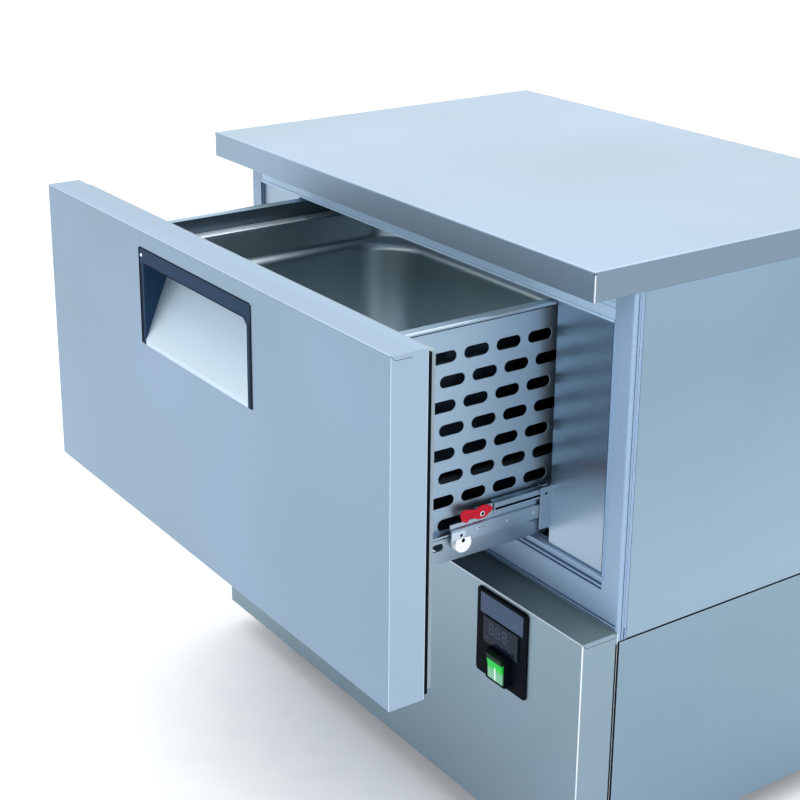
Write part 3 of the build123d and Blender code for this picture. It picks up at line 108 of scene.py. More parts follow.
def outward(tree, place, middle):
    """1 on the side of a hollow sheet piece that faces away from a middle point, and 0 on the other."""
    normal = add(tree, "ShaderNodeNewGeometry").outputs["Normal"]
    arm = add(tree, "ShaderNodeVectorMath", {0: place, 1: middle}, operation="SUBTRACT").outputs["Vector"]
    lean = add(tree, "ShaderNodeVectorMath", {0: arm, 1: normal}, operation="DOT_PRODUCT").outputs["Value"]
    return add(tree, "ShaderNodeMath", {0: lean, 1: 0.0}, operation="GREATER_THAN").outputs[0]


def way_along(tree, place, axis, start, end):
    """The share of the way from one place to another along an axis, from 0 to 1."""
    along = add(tree, "ShaderNodeSeparateXYZ", {"Vector": place}).outputs[axis]
    bounds = {"Value": along, "From Min": start, "From Max": end}
    return add(tree, "ShaderNodeMapRange", bounds).outputs["Result"]


def belt_streaks(tree, place, grain_axis, stretch=90, detail=4.0):
    """Scratches of a fine belt along one axis.

    The real ones are 0.1 mm apart, too fine to show, so they are drawn 0.9 mm apart."""
    scale = [1 / (0.9 * MM)] * 3
    scale[grain_axis] /= stretch
    drawn = add(tree, "ShaderNodeMapping", {"Vector": place, "Scale": scale}).outputs["Vector"]
    return add(tree, "ShaderNodeTexNoise", {"Vector": drawn, "Scale": 1.0, "Detail": detail}).outputs["Fac"]


def drawn_sheet(name, inside, outside, level_highlight_tone, middle, roughness):
    """Deep-drawn stainless: cloudy tones inside, a duller tone outside that is painted shade, and a painted
    highlight on its level faces.
    """
    material, tree, shader, place = finish(name)
    away, level = outward(tree, place, middle), facing(tree, "Z")
    patches = {"Vector": place, "Scale": 1 / (90 * MM), "Detail": 1.0}
    cloud = add(tree, "ShaderNodeTexNoise", patches).outputs["Fac"]
    inner = add(tree, "ShaderNodeValToRGB", {"Fac": cloud}, zip((0.3, 0.7), inside)).outputs["Color"]
    # Painted shade: the outer faces take the dark outside tone
    sides = {SHARE: away, FIRST: inner, SECOND: linear(outside)}
    wall = add(tree, "ShaderNodeMix", sides, data_type="RGBA").outputs[MIXED]
    # Painted highlight: level faces take the bright level tone
    faces = {SHARE: level, FIRST: wall, SECOND: linear(level_highlight_tone)}
    colour = add(tree, "ShaderNodeMix", faces, data_type="RGBA").outputs[MIXED]
    sheen = add(tree, "ShaderNodeMapRange", {"Value": level, "To Min": roughness, "To Max": 0.5})
    plug(tree, shader, {"Base Color": colour, "Roughness": sheen.outputs["Result"], "Metallic": 1.0})
    return material


def brushed_stainless(
    name, dark, light, roughness, grain_axis, anisotropy=0.5, folds=None, foot=None, middle=None
):
    """Stainless sheet rubbed along one axis with a fine belt: a soft sheen with faint streaks in it.

    The tone drifts over a hand's breadth, as rolled sheet does under a wide light. A front's side and
    top folds can be painted brighter than its face, as painted light. A tall panel can be painted
    brighter at its foot, a painted reflection of the lit floor. A sheet that closes in a space round a
    middle point gets painted shade on its inner face."""
    material, tree, shader, place = finish(name)
    streaks = belt_streaks(tree, place, grain_axis)
    drift = {"Vector": place, "Scale": 1 / (260 * MM), "Detail": 1.0}
    clouds = add(tree, "ShaderNodeTexNoise", drift).outputs["Fac"]
    faint = add(tree, "ShaderNodeMath", {0: streaks, 1: STREAK_SHARE}, operation="MULTIPLY").outputs[0]
    both = add(tree, "ShaderNodeMath", {0: faint, 1: clouds}, operation="ADD").outputs[0]
    colour = add(tree, "ShaderNodeValToRGB", {"Fac": both}, ((0.4, dark), (0.8, light))).outputs["Color"]
    # Painted light: the side and top folds take brighter tones than the face
    if folds:
        side, top = folds
        edges = {SHARE: facing(tree, "Z"), FIRST: linear(side), SECOND: linear(top)}
        edge = add(tree, "ShaderNodeMix", edges, data_type="RGBA").outputs[MIXED]
        faces = {SHARE: facing(tree, "Y"), FIRST: edge, SECOND: colour}
        colour = add(tree, "ShaderNodeMix", faces, data_type="RGBA").outputs[MIXED]
    # Painted reflection of the lit floor: a tall panel's foot grows brighter
    if foot:
        plain_height, foot_height = 560 * MM, 320 * MM
        down = way_along(tree, place, "Z", plain_height, foot_height)
        low_part = {SHARE: down, FIRST: colour, SECOND: linear(foot)}
        colour = add(tree, "ShaderNodeMix", low_part, data_type="RGBA").outputs[MIXED]
    # Painted shade: the inner face of a sheet round a middle point takes a dark grey
    if middle:
        sides = {SHARE: outward(tree, place, middle), FIRST: linear("#56646F"), SECOND: colour}
        colour = add(tree, "ShaderNodeMix", sides, data_type="RGBA").outputs[MIXED]
    spread = {"Value": streaks, "To Min": roughness - 0.04, "To Max": roughness + 0.04}
    sheen = add(tree, "ShaderNodeMapRange", spread).outputs["Result"]
    bump = add(tree, "ShaderNodeBump", {"Height": streaks, "Strength": 0.05, "Distance": 0.05 * MM})
    plug(tree, shader, {"Base Color": colour, "Roughness": sheen, "Normal": bump.outputs["Normal"]})
    plug(tree, shader, {"Metallic": 1.0, "Anisotropic": anisotropy})
    return material


def worktop_sheet(name):
    """Worktop stainless: a top polished with a fine belt, and folded aprons with a satin grain; the top's
    paler tones are painted light, the aprons' darker ones painted shade.
    """
    material, tree, shader, place = finish(name)
    top, end = facing(tree, "Z"), facing(tree, "X")
    drift = {"Vector": place, "Scale": 1 / (320 * MM), "Detail": 1.0}
    clouds = {"Fac": add(tree, "ShaderNodeTexNoise", drift).outputs["Fac"]}
    # Painted light and shade: paler tones on the top, darker ones on the aprons, darkest on the end aprons
    polished = add(tree, "ShaderNodeValToRGB", clouds, ((0.3, "#A3BACB"), (0.7, "#ACC3DA"))).outputs["Color"]
    satin = add(tree, "ShaderNodeValToRGB", clouds, ((0.3, "#8EA3B3"), (0.7, "#98ADBF"))).outputs["Color"]
    aprons = {SHARE: end, FIRST: satin, SECOND: linear("#7A8D9C")}
    apron = add(tree, "ShaderNodeMix", aprons, data_type="RGBA").outputs[MIXED]
    faces = {SHARE: top, FIRST: apron, SECOND: polished}
    colour = add(tree, "ShaderNodeMix", faces, data_type="RGBA").outputs[MIXED]
    sheen = add(tree, "ShaderNodeMapRange", {"Value": top, "To Min": 0.5, "To Max": 0.32}).outputs["Result"]
    streaks = belt_streaks(tree, place, 0)
    bump = add(tree, "ShaderNodeBump", {"Height": streaks, "Strength": 0.05, "Distance": 0.05 * MM})
    plug(tree, shader, {"Base Color": colour, "Roughness": sheen, "Normal": bump.outputs["Normal"]})
    plug(tree, shader, {"Metallic": 1.0})
    return material


def galvanised_sheet(name):
    """Hot-dip zinc on steel: pale crystals a few millimetres across, each at its own tone."""
    material, tree, shader, place = finish(name)
    cells = add(tree, "ShaderNodeTexVoronoi", {"Vector": place, "Scale": 1 / (7 * MM)})
    spangle = add(tree, "ShaderNodeSeparateColor", {"Color": cells.outputs["Color"]}).outputs[0]
    zinc = add(tree, "ShaderNodeValToRGB", {"Fac": spangle}, ((0.0, "#97A2AC"), (1.0, "#A3AEB8")))
    sheen = add(tree, "ShaderNodeMapRange", {"Value": spangle, "To Min": 0.34, "To Max": 0.5})
    plug(tree, shader, {"Base Color": zinc.outputs["Color"], "Roughness": sheen.outputs["Result"]})
    plug(tree, shader, {"Metallic": 0.9})
    return material


def moulded_plastic(name, dark, light, roughness, grain_mm, grain=0.3, specular=0.5):
    """Injection-moulded or extruded plastic: an even fine grain of the tool's face and a low sheen."""
    material, tree, shader, place = finish(name)
    texture = {"Vector": place, "Scale": 1 / (grain_mm * MM), "Detail": 3.0}
    pits = add(tree, "ShaderNodeTexNoise", texture).outputs["Fac"]
    colour = add(tree, "ShaderNodeValToRGB", {"Fac": pits}, ((0.3, dark), (0.7, light))).outputs["Color"]
    spread = {"Value": pits, "To Min": roughness - 0.05, "To Max": roughness + 0.05}
    sheen = add(tree, "ShaderNodeMapRange", spread).outputs["Result"]
    bump = add(tree, "ShaderNodeBump", {"Height": pits, "Strength": grain, "Distance": 0.1 * MM})
    plug(tree, shader, {"Base Color": colour, "Roughness": sheen, "Normal": bump.outputs["Normal"]})
    plug(tree, shader, {"IOR": 1.5, "Specular IOR Level": specular})
    return material


def sloping_strip(name):
    """The dark strip above the machine's front: painted shade at its left that gives way to a painted
    reflection growing towards its right end.
    """
    material, tree, shader, place = finish(name)
    low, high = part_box("machine_top_strip")
    share = way_along(tree, place, "X", low.x, high.x)
    # Painted shade at the left end, a painted reflection towards the right end
    colour = add(tree, "ShaderNodeValToRGB", {"Fac": share}, ((0.6, "#18242B"), (1.0, "#607378")))
    texture = {"Vector": place, "Scale": 1 / (6 * MM), "Detail": 3.0}
    grain = add(tree, "ShaderNodeTexNoise", texture).outputs["Fac"]
    sheen = add(tree, "ShaderNodeMapRange", {"Value": grain, "To Min": 0.25, "To Max": 0.35})
    plug(tree, shader, {"Base Color": colour.outputs["Color"], "Roughness": sheen.outputs["Result"]})
    plug(tree, shader, {"Specular IOR Level": 0.3})
    return material


def pressed_scoop(name):
    """Satin stainless pressed into the handle's recess: a painted highlight at its lip, painted shade up
    under the grip bar and on its level faces.
    """
    material, tree, shader, place = finish(name)
    low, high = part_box("handle_scoop")
    rise = way_along(tree, place, "Z", low.z, high.z)
    # Painted light and shade: paler near the lip, darker up under the grip bar, darkest on level faces
    slope = add(tree, "ShaderNodeValToRGB", {"Fac": rise}, ((0.1, "#C0D2DF"), (0.6, "#ABC0D0")))
    normal = add(tree, "ShaderNodeNewGeometry").outputs["Normal"]
    upward = add(tree, "ShaderNodeSeparateXYZ", {"Vector": normal}).outputs["Z"]
    level = add(tree, "ShaderNodeMath", {0: upward, 1: 0.9}, operation="GREATER_THAN").outputs[0]
    faces = {SHARE: level, FIRST: slope.outputs["Color"], SECOND: linear("#7E8F9D")}
    colour = add(tree, "ShaderNodeMix", faces, data_type="RGBA").outputs[MIXED]
    grain = belt_streaks(tree, place, 0, 60, 3.0)
    sheen = add(tree, "ShaderNodeMapRange", {"Value": grain, "To Min": 0.46, "To Max": 0.54})
    plug(tree, shader, {"Base Color": colour, "Roughness": sheen.outputs["Result"], "Metallic": 0.8})
    return material


def rolled_metal(name, dark, light, roughness, mark_mm, metallic=1.0):
    """Drawn, cast or rolled metal with faint mill marks."""
    material, tree, shader, place = finish(name)
    texture = {"Vector": place, "Scale": 1 / (mark_mm * MM), "Detail": 3.0}
    marks = add(tree, "ShaderNodeTexNoise", texture).outputs["Fac"]
    colour = add(tree, "ShaderNodeValToRGB", {"Fac": marks}, ((0.3, dark), (0.7, light))).outputs["Color"]
    spread = {"Value": marks, "To Min": roughness - 0.08, "To Max": roughness + 0.08}
    sheen = add(tree, "ShaderNodeMapRange", spread).outputs["Result"]
    plug(tree, shader, {"Base Color": colour, "Roughness": sheen, "Metallic": metallic})
    return material


def lit_lens(name):
    """The rocker's polycarbonate lens: dark at its top, lit green, nearly clear below, a white bar on it."""
    material, tree, shader, place = finish(name)
    low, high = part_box("rocker")
    half_bar, bar_top = 0.9 * MM, 0.52
    rise = way_along(tree, place, "Z", low.z, high.z)
    glow = add(tree, "ShaderNodeValToRGB", {"Fac": rise}, ((0.3, "#7DB697"), (0.5, "#22BE46")))
    unlit = add(tree, "ShaderNodeMapRange", {"Value": rise, "From Min": 0.72, "From Max": 0.78})
    faces = {SHARE: unlit.outputs["Result"], FIRST: glow.outputs["Color"], SECOND: linear("#0B1F14")}
    lens = add(tree, "ShaderNodeMix", faces, data_type="RGBA").outputs[MIXED]
    across = add(tree, "ShaderNodeSeparateXYZ", {"Vector": place}).outputs["X"]
    stripe = {0: across, 1: (low.x + high.x) / 2, 2: half_bar}
    near = add(tree, "ShaderNodeMath", stripe, operation="COMPARE").outputs[0]
    below = add(tree, "ShaderNodeMath", {0: rise, 1: bar_top}, operation="LESS_THAN").outputs[0]
    bar = add(tree, "ShaderNodeMath", {0: near, 1: below}, operation="MULTIPLY").outputs[0]
    marked = {SHARE: bar, FIRST: lens, SECOND: linear("#F4FFF8")}
    colour = add(tree, "ShaderNodeMix", marked, data_type="RGBA").outputs[MIXED]
    plug(tree, shader, {"Base Color": colour, "Emission Color": colour, "Emission Strength": 0.18})
    plug(tree, shader, {"Roughness": 0.35, "Specular IOR Level": 0.15})
    return material


def middle_between(first, last):
    """The point halfway from the lowest corner of one node to the highest corner of another."""
    return (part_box(first)[0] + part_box(last)[1]) / 2


box_middle, pan_middle = middle_between("box_side_left", "box_side_right"), middle_between("pan", "pan")

# Polished with a fine belt, so its top mirrors the ceiling softly and its aprons stay duller; the top is
# also painted paler and the aprons darker, as painted light and shade
worktop_steel = worktop_sheet("belt polished worktop steel with painted light")
# Brushed before it was folded: an even blue grey, with painted light making it a little brighter on the
# folds
front_steel = brushed_stainless(
    "belt brushed drawer front steel", "#7F96A5", "#869BB3", 0.36, 2, folds=("#93A7BA", "#99B1C8")
)
# The same brushed sheet on the sides, where the tall panels get painted light towards the floor
side_steel = brushed_stainless("belt brushed side panel steel", "#8097A5", "#869CB0", 0.36, 2)
panel_steel = brushed_stainless(
    "belt brushed tall panel steel", "#7D94A2", "#8399AD", 0.36, 2, foot="#8CA2B3"
)
# A satin sheet with a greyer tone and a wider sheen
machine_steel = brushed_stainless("satin machine panel steel", "#859AA5", "#8DA1AF", 0.4, 2)
# Mill-finished inner sheets: streaks along the drawer's travel and soft, long reflections
liner_steel = brushed_stainless("cold rolled liner steel", "#94A7B8", "#A0B3C4", 0.3, 1, anisotropy=0.8)
# Its inner faces carry painted shade
box_steel = brushed_stainless("punched box side steel with painted shade", "#93AABC", "#A0B7CA", 0.44, 1, middle=box_middle)
slide_steel = brushed_stainless("rolled slide steel", "#98A9B8", "#A9B9C7", 0.3, 1)
# Drawn deep: cloudy walls inside, painted shade on the walls outside, and a painted highlight on the level
# edges
pan_steel = drawn_sheet(
    "deep drawn pan steel with painted light", ("#9FB0B8", "#AFBDC1"), "#2A333C", "#EAF3FA", pan_middle, 0.3
)
# Pressed thin and left satin, with a painted highlight towards its lip and painted shade under the grip bar
scoop_steel = pressed_scoop("satin scoop steel with painted light")
# Hems, tight bends and ground welds: narrow lines of painted highlight; the slides' end plates share the
# pale sheet
plate_and_highlight_sheet = brushed_stainless("rolled sheet with painted highlights", "#B4C5D2", "#C0D1DE", 0.24, 0)
highlight_steel = rolled_metal("bright fold and weld highlight", "#E4EEF5", "#F0F6FA", 0.35, 6.0)
# Zinc: faint spangle on the hot-dipped back, a plain grey on plated feet, a bright dot on each screw
galvanised = galvanised_sheet("galvanised sheet")
zinc_plate = rolled_metal("zinc plated steel", "#9AA4AE", "#B4BDC6", 0.3, 9.0)
bright_zinc = rolled_metal("bright zinc fasteners", "#C9D2DA", "#DDE4EA", 0.2, 2.0)
# Extruded vinyl, coloured through: a soft and even blue, with painted light on the top rail and painted
# shade in its grooves
frame_vinyl = moulded_plastic("extruded vinyl breaker frame", "#8AA7C3", "#95B0CD", 0.42, 3.0, 0.05)
# Painted light: the top rail's near-white stands for light falling on it
painted_light_vinyl = moulded_plastic("extruded vinyl top rail with painted light", "#BAD8F6", "#C4E0FC", 0.42, 3.0, 0.05)
groove_vinyl = moulded_plastic("shadowed vinyl groove", "#34496A", "#3D5474", 0.6, 3.0, 0.02, 0.1)
seal_vinyl = moulded_plastic("grey vinyl seal", "#80919C", "#8B9CA8", 0.55, 2.0)
# Moulded ABS with a spark-eroded grain: navy or black, with hardly any sheen
handle_plastic = moulded_plastic("moulded navy handle", "#1A334C", "#1F3852", 0.5, 1.2, specular=0.06)
# Its near-black paints the shade along the handle's edges
handle_edge_shade = moulded_plastic("moulded handle edge with painted shade", "#070F1D", "#0B1526", 0.5, 1.2, specular=0.04)
bezel_plastic = moulded_plastic("moulded black bezel", "#03070E", "#070D17", 0.45, 1.0, specular=0.03)
charcoal_plastic = sloping_strip("charcoal strip with painted shade and reflection")
# The control's films: smooth and smoked, their unlit figures only just paler than the glass
display_plastic = moulded_plastic("smoked display window", "#131D2D", "#1A2638", 0.2, 3.0, 0.05, 0.12)
label_film = moulded_plastic("plain grey label film", "#3A4F6C", "#425775", 0.4, 4.0, 0.02, 0.2)
ghost_film = moulded_plastic("unlit display segments", "#33435C", "#3B4C66", 0.3, 2.0, 0.02, 0.2)
lens_plastic = lit_lens("lit lens")
# Acetal lever and nylon rollers: full, clean colours with a waxy sheen
lever_plastic = moulded_plastic("moulded red lever", "#AE061F", "#CB1230", 0.4, 1.0, specular=0.2)
roller_nylon = moulded_plastic("white nylon", "#F0F4F7", "#FAFCFD", 0.4, 2.0)
# What is dark and dull: glass-filled fan blades, rubber, sealant in the joints, stoved paint, and the black
# that paints shade in holes, gaps, channels and notches
fan_plastic = moulded_plastic("glass-filled fan plastic", "#1B1C1E", "#26282B", 0.5, 1.5)
rubber = moulded_plastic("black rubber", "#101112", "#191A1C", 0.7, 1.5)
joint_and_shade_black = moulded_plastic("black joint sealant and painted shade", "#050910", "#0A1019", 0.8, 1.0, specular=0.03)
black_paint = rolled_metal("black stoved paint", "#0D0E10", "#17191C", 0.4, 3.0, 0.0)
# Foam that was poured and set: matt and cream. Fins and pipes: bare metal with mill marks
foam_edge = moulded_plastic("insulation foam", "#D9CFA4", "#E6DDB6", 0.8, 2.0)
fin_aluminium = rolled_metal("pressed fin aluminium", "#AEB6BD", "#C3CAD0", 0.35, 8.0)
copper = rolled_metal("drawn copper", "#B0683F", "#C98056", 0.28, 12.0)

slot_finish = {
    "worktop_steel": worktop_steel,
    "brushed_panel": side_steel,
    "frame_vinyl": frame_vinyl,
    "scoop_steel": scoop_steel,
    "liner_steel": liner_steel,
    "pan_steel": pan_steel,
    "slide_steel": slide_steel,
    "galvanised": galvanised,
    "foam": foam_edge,
    "gasket_vinyl": seal_vinyl,
    "handle_plastic": handle_plastic,
    "charcoal_plastic": charcoal_plastic,
    "black_plastic": bezel_plastic,
    "display_plastic": display_plastic,
    "green_lens": lens_plastic,
    "red_plastic": lever_plastic,
    "nylon": roller_nylon,
    "fan_plastic": fan_plastic,
    "black_paint": black_paint,
    "fin_aluminium": fin_aluminium,
    "copper": copper,
    "grommet_rubber": rubber,
    "zinc_foot": zinc_plate,
}
node_finish = {
    "front_skin": front_steel,
    "box_side_left": box_steel,
    "box_side_right": box_steel,
    "handle_scoop": scoop_steel,
    "side_panel_left": panel_steel,
    "side_panel_right": panel_steel,
    "machine_front": machine_steel,
    "frame_rail_top": painted_light_vinyl,
}


def made_of(node):
    """The finish of a node: its own, or else its slot's."""
    return node_finish.get(node, slot_finish[node_slot[node]])


for node, shape in cad.items():
    shape.data.materials.clear()
    shape.data.materials.append(made_of(node))


# Shaping


def block(shape, low, high):
    """Adds a box between two corners in millimetres."""
    size = Vector(high) - Vector(low)
    middle = (Vector(high) + Vector(low)) / 2
    place = Matrix.Translation(middle * MM) @ Matrix.Diagonal((*(size * MM), 1))
    return bmesh.ops.create_cube(shape, size=1, matrix=place)["verts"]


def rod(shape, start, end, radius, end_radius=None, sides=20):
    """Adds a closed round bar, or a taper, between two points in millimetres."""
    start, end = Vector(start), Vector(end)
    turn = (end - start).to_track_quat("Z", "Y").to_matrix().to_4x4()
    return bmesh.ops.create_cone(
        shape,
        cap_ends=True,
        segments=sides,
        radius1=radius * MM,
        radius2=(end_radius or radius) * MM,
        depth=(end - start).length * MM,
        matrix=Matrix.Translation((start + end) / 2 * MM) @ turn,
    )["verts"]


def thickened(shape, face, vector):
    """Pushes a copy of a flat face along a vector in millimetres, and closes the sides."""
    grown = bmesh.ops.extrude_face_region(shape, geom=[face])["geom"]
    moved = [part for part in grown if isinstance(part, bmesh.types.BMVert)]
    bmesh.ops.translate(shape, verts=moved, vec=Vector(vector) * MM)


def rounded_outline(shape, points, corner, segments):
    """Adds a flat face through points in millimetres and rounds its corners."""
    corners = [shape.verts.new(Vector(point) * MM) for point in points]
    shape.faces.new(corners)
    bmesh.ops.bevel(
        shape,
        geom=corners,
        offset=corner * MM,
        segments=segments,
        profile=0.5,
        affect="VERTICES",
        material=-1,
    )
    shape.faces.ensure_lookup_table()


def plate(shape, outline, low_x, high_x, corner, segments=4):
    """Adds a flat plate from an outline of (y, z) points in millimetres with its corners rounded."""
    rounded_outline(shape, [(low_x, y, z) for y, z in outline], corner, segments)
    thickened(shape, shape.faces[-1], (high_x - low_x, 0, 0))


def eased(shape, width, segments=2, angle=40):
    """Rounds each edge that turns by more than an angle."""
    sharp = [e for e in shape.edges if len(e.link_faces) == 2 and e.calc_face_angle() > math.radians(angle)]
    bmesh.ops.bevel(
        shape,
        geom=sharp,
        offset=width * MM,
        segments=segments,
        profile=0.5,
        affect="EDGES",
        material=-1,
        clamp_overlap=True,
    )


def mirrored(shape):
    """Adds the same pieces on the left side."""
    bmesh.ops.mirror(shape, geom=shape.verts[:] + shape.edges[:] + shape.faces[:], axis="X", merge_dist=-1)


def on_side(shape, side):
    """Turns a piece made for the right side over to the left, where that is its side."""
    if side == LEFT:
        bmesh.ops.scale(shape, vec=(-1, 1, 1), verts=shape.verts)


def piece(name, shape, material, body, slot, *nodes):
    """Makes a finished object that rides on a body, and may stand for CAD nodes."""
    bmesh.ops.remove_doubles(shape, verts=shape.verts, dist=0.001 * MM)
    bmesh.ops.recalc_face_normals(shape, faces=shape.faces)
    mesh = bpy.data.meshes.new(name)
    shape.to_mesh(mesh)
    shape.free()
    mesh.shade_smooth()
    mesh.set_sharp_from_angle(angle=math.radians(30))
    mesh.materials.append(material)
    made = bpy.data.objects.new(name, mesh)
    bpy.context.scene.collection.objects.link(made)
    made.modifiers.new("flat faces stay flat", "WEIGHTED_NORMAL").keep_sharp = True
    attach(made, body)
    if nodes:
        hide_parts(*nodes)
    return made


def broken_edges(node, width):
    """A copy of a CAD node with its sharp edges broken, so that they catch the light."""
    shape = bmesh.new()
    shape.from_mesh(cad[node].data)
    bmesh.ops.remove_doubles(shape, verts=shape.verts, dist=0.005 * MM)
    bmesh.ops.dissolve_limit(shape, angle_limit=math.radians(0.5), verts=shape.verts, edges=shape.edges)
    eased(shape, width, 1)
    piece(f"{node}_finished", shape, made_of(node), node_body[node], node_slot[node], node)


# Pieces


def corners(node):
    """A node's lowest and highest corners in millimetres."""
    low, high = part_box(node)
    return low / MM, high / MM


def worktop_corners():
    """The weld down each front corner of the worktop, its near-white a painted highlight, with its notch at
    the top fold in black as painted shade.
    """
    low, high = corners("worktop")
    fold, weld, proud = 3.2, 1.3, 0.12
    notch, slit, inset = 1.8, 0.8, 0.6
    fold_foot = high.z - fold
    shape = bmesh.new()
    block(shape, (high.x - weld, low.y - proud, low.z), (high.x + proud, low.y + weld, fold_foot))
    eased(shape, 0.4)
    mirrored(shape)
    piece("worktop_welds", shape, highlight_steel, "cabinet", "worktop_steel")
    # Painted shade: black blocks fill the notch
    shape = bmesh.new()
    block(shape, (high.x - notch, low.y - 0.2, fold_foot), (high.x - inset, low.y + 1, fold_foot + slit))
    block(shape, (high.x - 1, low.y + inset, fold_foot), (high.x + 0.2, low.y + notch, fold_foot + slit))
    mirrored(shape)
    piece("worktop_notches", shape, joint_and_shade_black, "cabinet", "black_plastic")


def lap_joints(node, body, length):
    """The mitred joint on each side of a folded front, where its top fold laps over the side fold."""
    low, high = corners(node)
    lap, line, proud, fold = 5.0, 0.55, 0.1, 0.6
    across, foot = high.x - line + proud, high.z - lap
    elbow = (across, low.y + lap, foot)
    shape = bmesh.new()
    rod(shape, (across, low.y + fold, high.z - 1), elbow, line, sides=8)
    rod(shape, elbow, (across, low.y + length, foot), line, sides=8)
    mirrored(shape)
    piece(f"{node}_laps", shape, joint_and_shade_black, body, "black_plastic")


def painted_fold_highlights(node, body, radius, material):
    """Painted highlights on the tight outer bends of a folded front: down its edges and along the top."""
    low, high = corners(node)
    out = radius - 0.12
    side, front, top = high.x - out, low.y + out, high.z - out
    shape = bmesh.new()
    for bend in (front, high.y - out):
        rod(shape, (side, bend, low.z + 1), (side, bend, high.z - 1), radius, sides=12)
    mirrored(shape)
    rod(shape, (low.x + 1, front, top), (high.x - 1, front, top), radius, sides=12)
    piece(f"{node}_folds", shape, material, body, "worktop_steel")


def machine_joint_shade():
    """The joint between the machine front's side fold and the machine side panel, a black block whose width
    is painted shade of the gap.
    """
    low, high = corners("machine_front")
    panel = corners("machine_side_right")[0]
    depth, proud, front_lap, panel_lap, top_gap = 3.0, 0.08, 2.8, 0.6, 12.0
    shape = bmesh.new()
    block(
        shape,
        (high.x - depth, high.y - front_lap, low.z),
        (high.x + proud, panel.y + panel_lap, high.z - top_gap),
    )
    mirrored(shape)
    piece("machine_joint_shade", shape, joint_and_shade_black, "cabinet", "black_plastic")


def seal_rivets():
    """Blind rivets that hold the seal's carrier to the front, three near each lower corner."""
    low, high = corners("front_gasket")
    pitch, head, first, set_back = 35.5, 1.6, 15.0, 3.5
    shape = bmesh.new()
    for row in range(3):
        place = Vector((high.x, low.y + set_back, low.z + first + row * pitch))
        rod(shape, place - Vector((1, 0, 0)), place + Vector((0.5, 0, 0)), head, head * 0.7, 12)
    mirrored(shape)
    piece("seal_rivets", shape, joint_and_shade_black, "drawer", "black_plastic")


def seal_retainer_shade():
    """The channel behind the drawer front that the seal's foot is pressed into, wide at the sides, in black
    that paints the shade of the gap beside the seal.
    """
    low, high = corners("front_gasket")
    out, depth, width, rim, lip = 5.4, 4.0, 8.0, 1.0, 2.0
    front, back, foot, head = low.y, low.y + depth, low.z - rim, high.z + rim
    reach = high.x + out - width
    shape = bmesh.new()
    block(shape, (reach, front, foot), (high.x + out, back, head))
    mirrored(shape)
    block(shape, (-reach, front, foot), (reach, back, low.z + lip))
    block(shape, (-reach, front, high.z - lip), (reach, back, head))
    piece("seal_retainer_shade", shape, joint_and_shade_black, "drawer", "black_plastic")


# The widths of the handle's side walls and of the bar over its opening
HANDLE_SIDE, HANDLE_BAR = 9.0, 17.5


def handle_bead():
    """The bead round the handle's outer edge, a step inside it, and the lip under its grip bar, in a
    near-black that paints the shade along the handle's edges.
    """
    low, high = corners("handle_frame")
    line, proud, leg = 1.1, 0.7, 4.2
    root, half = low.y + 1, low.y - proud / 2
    foot, under = low.z + 1, high.z - HANDLE_BAR
    leg_top = under - 2
    shape = bmesh.new()
    block(shape, (low.x + 2, low.y - proud, high.z - line), (high.x - 2, root, high.z + 0.2))
    block(shape, (low.x - 0.2, low.y - proud, foot), (low.x + line, root, high.z - 1))
    block(shape, (high.x - line, low.y - proud, foot), (high.x + 0.2, root, high.z - 1))
    block(shape, (low.x + line, half, foot), (low.x + leg, root, leg_top))
    block(shape, (high.x - leg, half, foot), (high.x - line, root, leg_top))
    block(shape, (low.x + HANDLE_SIDE, half, under), (high.x - HANDLE_SIDE, root, under + line))
    eased(shape, 0.3)
    piece("handle_bead", shape, handle_edge_shade, "drawer", "handle_plastic")


def handle_gusset():
    """The gusset in the opening's upper right corner, and a painted highlight down the scoop's edge from it.
    """
    low, high = corners("handle_frame")
    inner, under, gusset, lap = high.x - HANDLE_SIDE, high.z - HANDLE_BAR, 6.0, 0.2
    shape = bmesh.new()
    fill = ((inner + lap, under + lap), (inner + lap, under - gusset), (inner - gusset, under + lap))
    face = shape.faces.new([shape.verts.new(Vector((x, low.y, z)) * MM) for x, z in fill])
    thickened(shape, face, (0, 1.2, 0))
    piece("handle_gusset", shape, handle_plastic, "drawer", "handle_plastic")
    # Painted highlight: a bright strip down the scoop's right edge
    shape = bmesh.new()
    block(shape, (inner - 0.9, low.y - 0.1, low.z + 3), (inner + 0.1, low.y + 1, under - gusset + 0.3))
    eased(shape, 0.2)
    piece("scoop_edge_highlight", shape, plate_and_highlight_sheet, "drawer", "scoop_steel")


def handle_screw():
    """The bright screw in the handle's upper left corner."""
    low, high = corners("handle_frame")
    place, head, tip = Vector((low.x + 5.5, low.y + 0.4, high.z - 8.5)), 2.2, 1.6
    shape = bmesh.new()
    rod(shape, place, place - Vector((0, 1.3, 0)), head, tip, 16)
    eased(shape, 0.2)
    piece("handle_screw", shape, bright_zinc, "drawer", "scoop_steel")


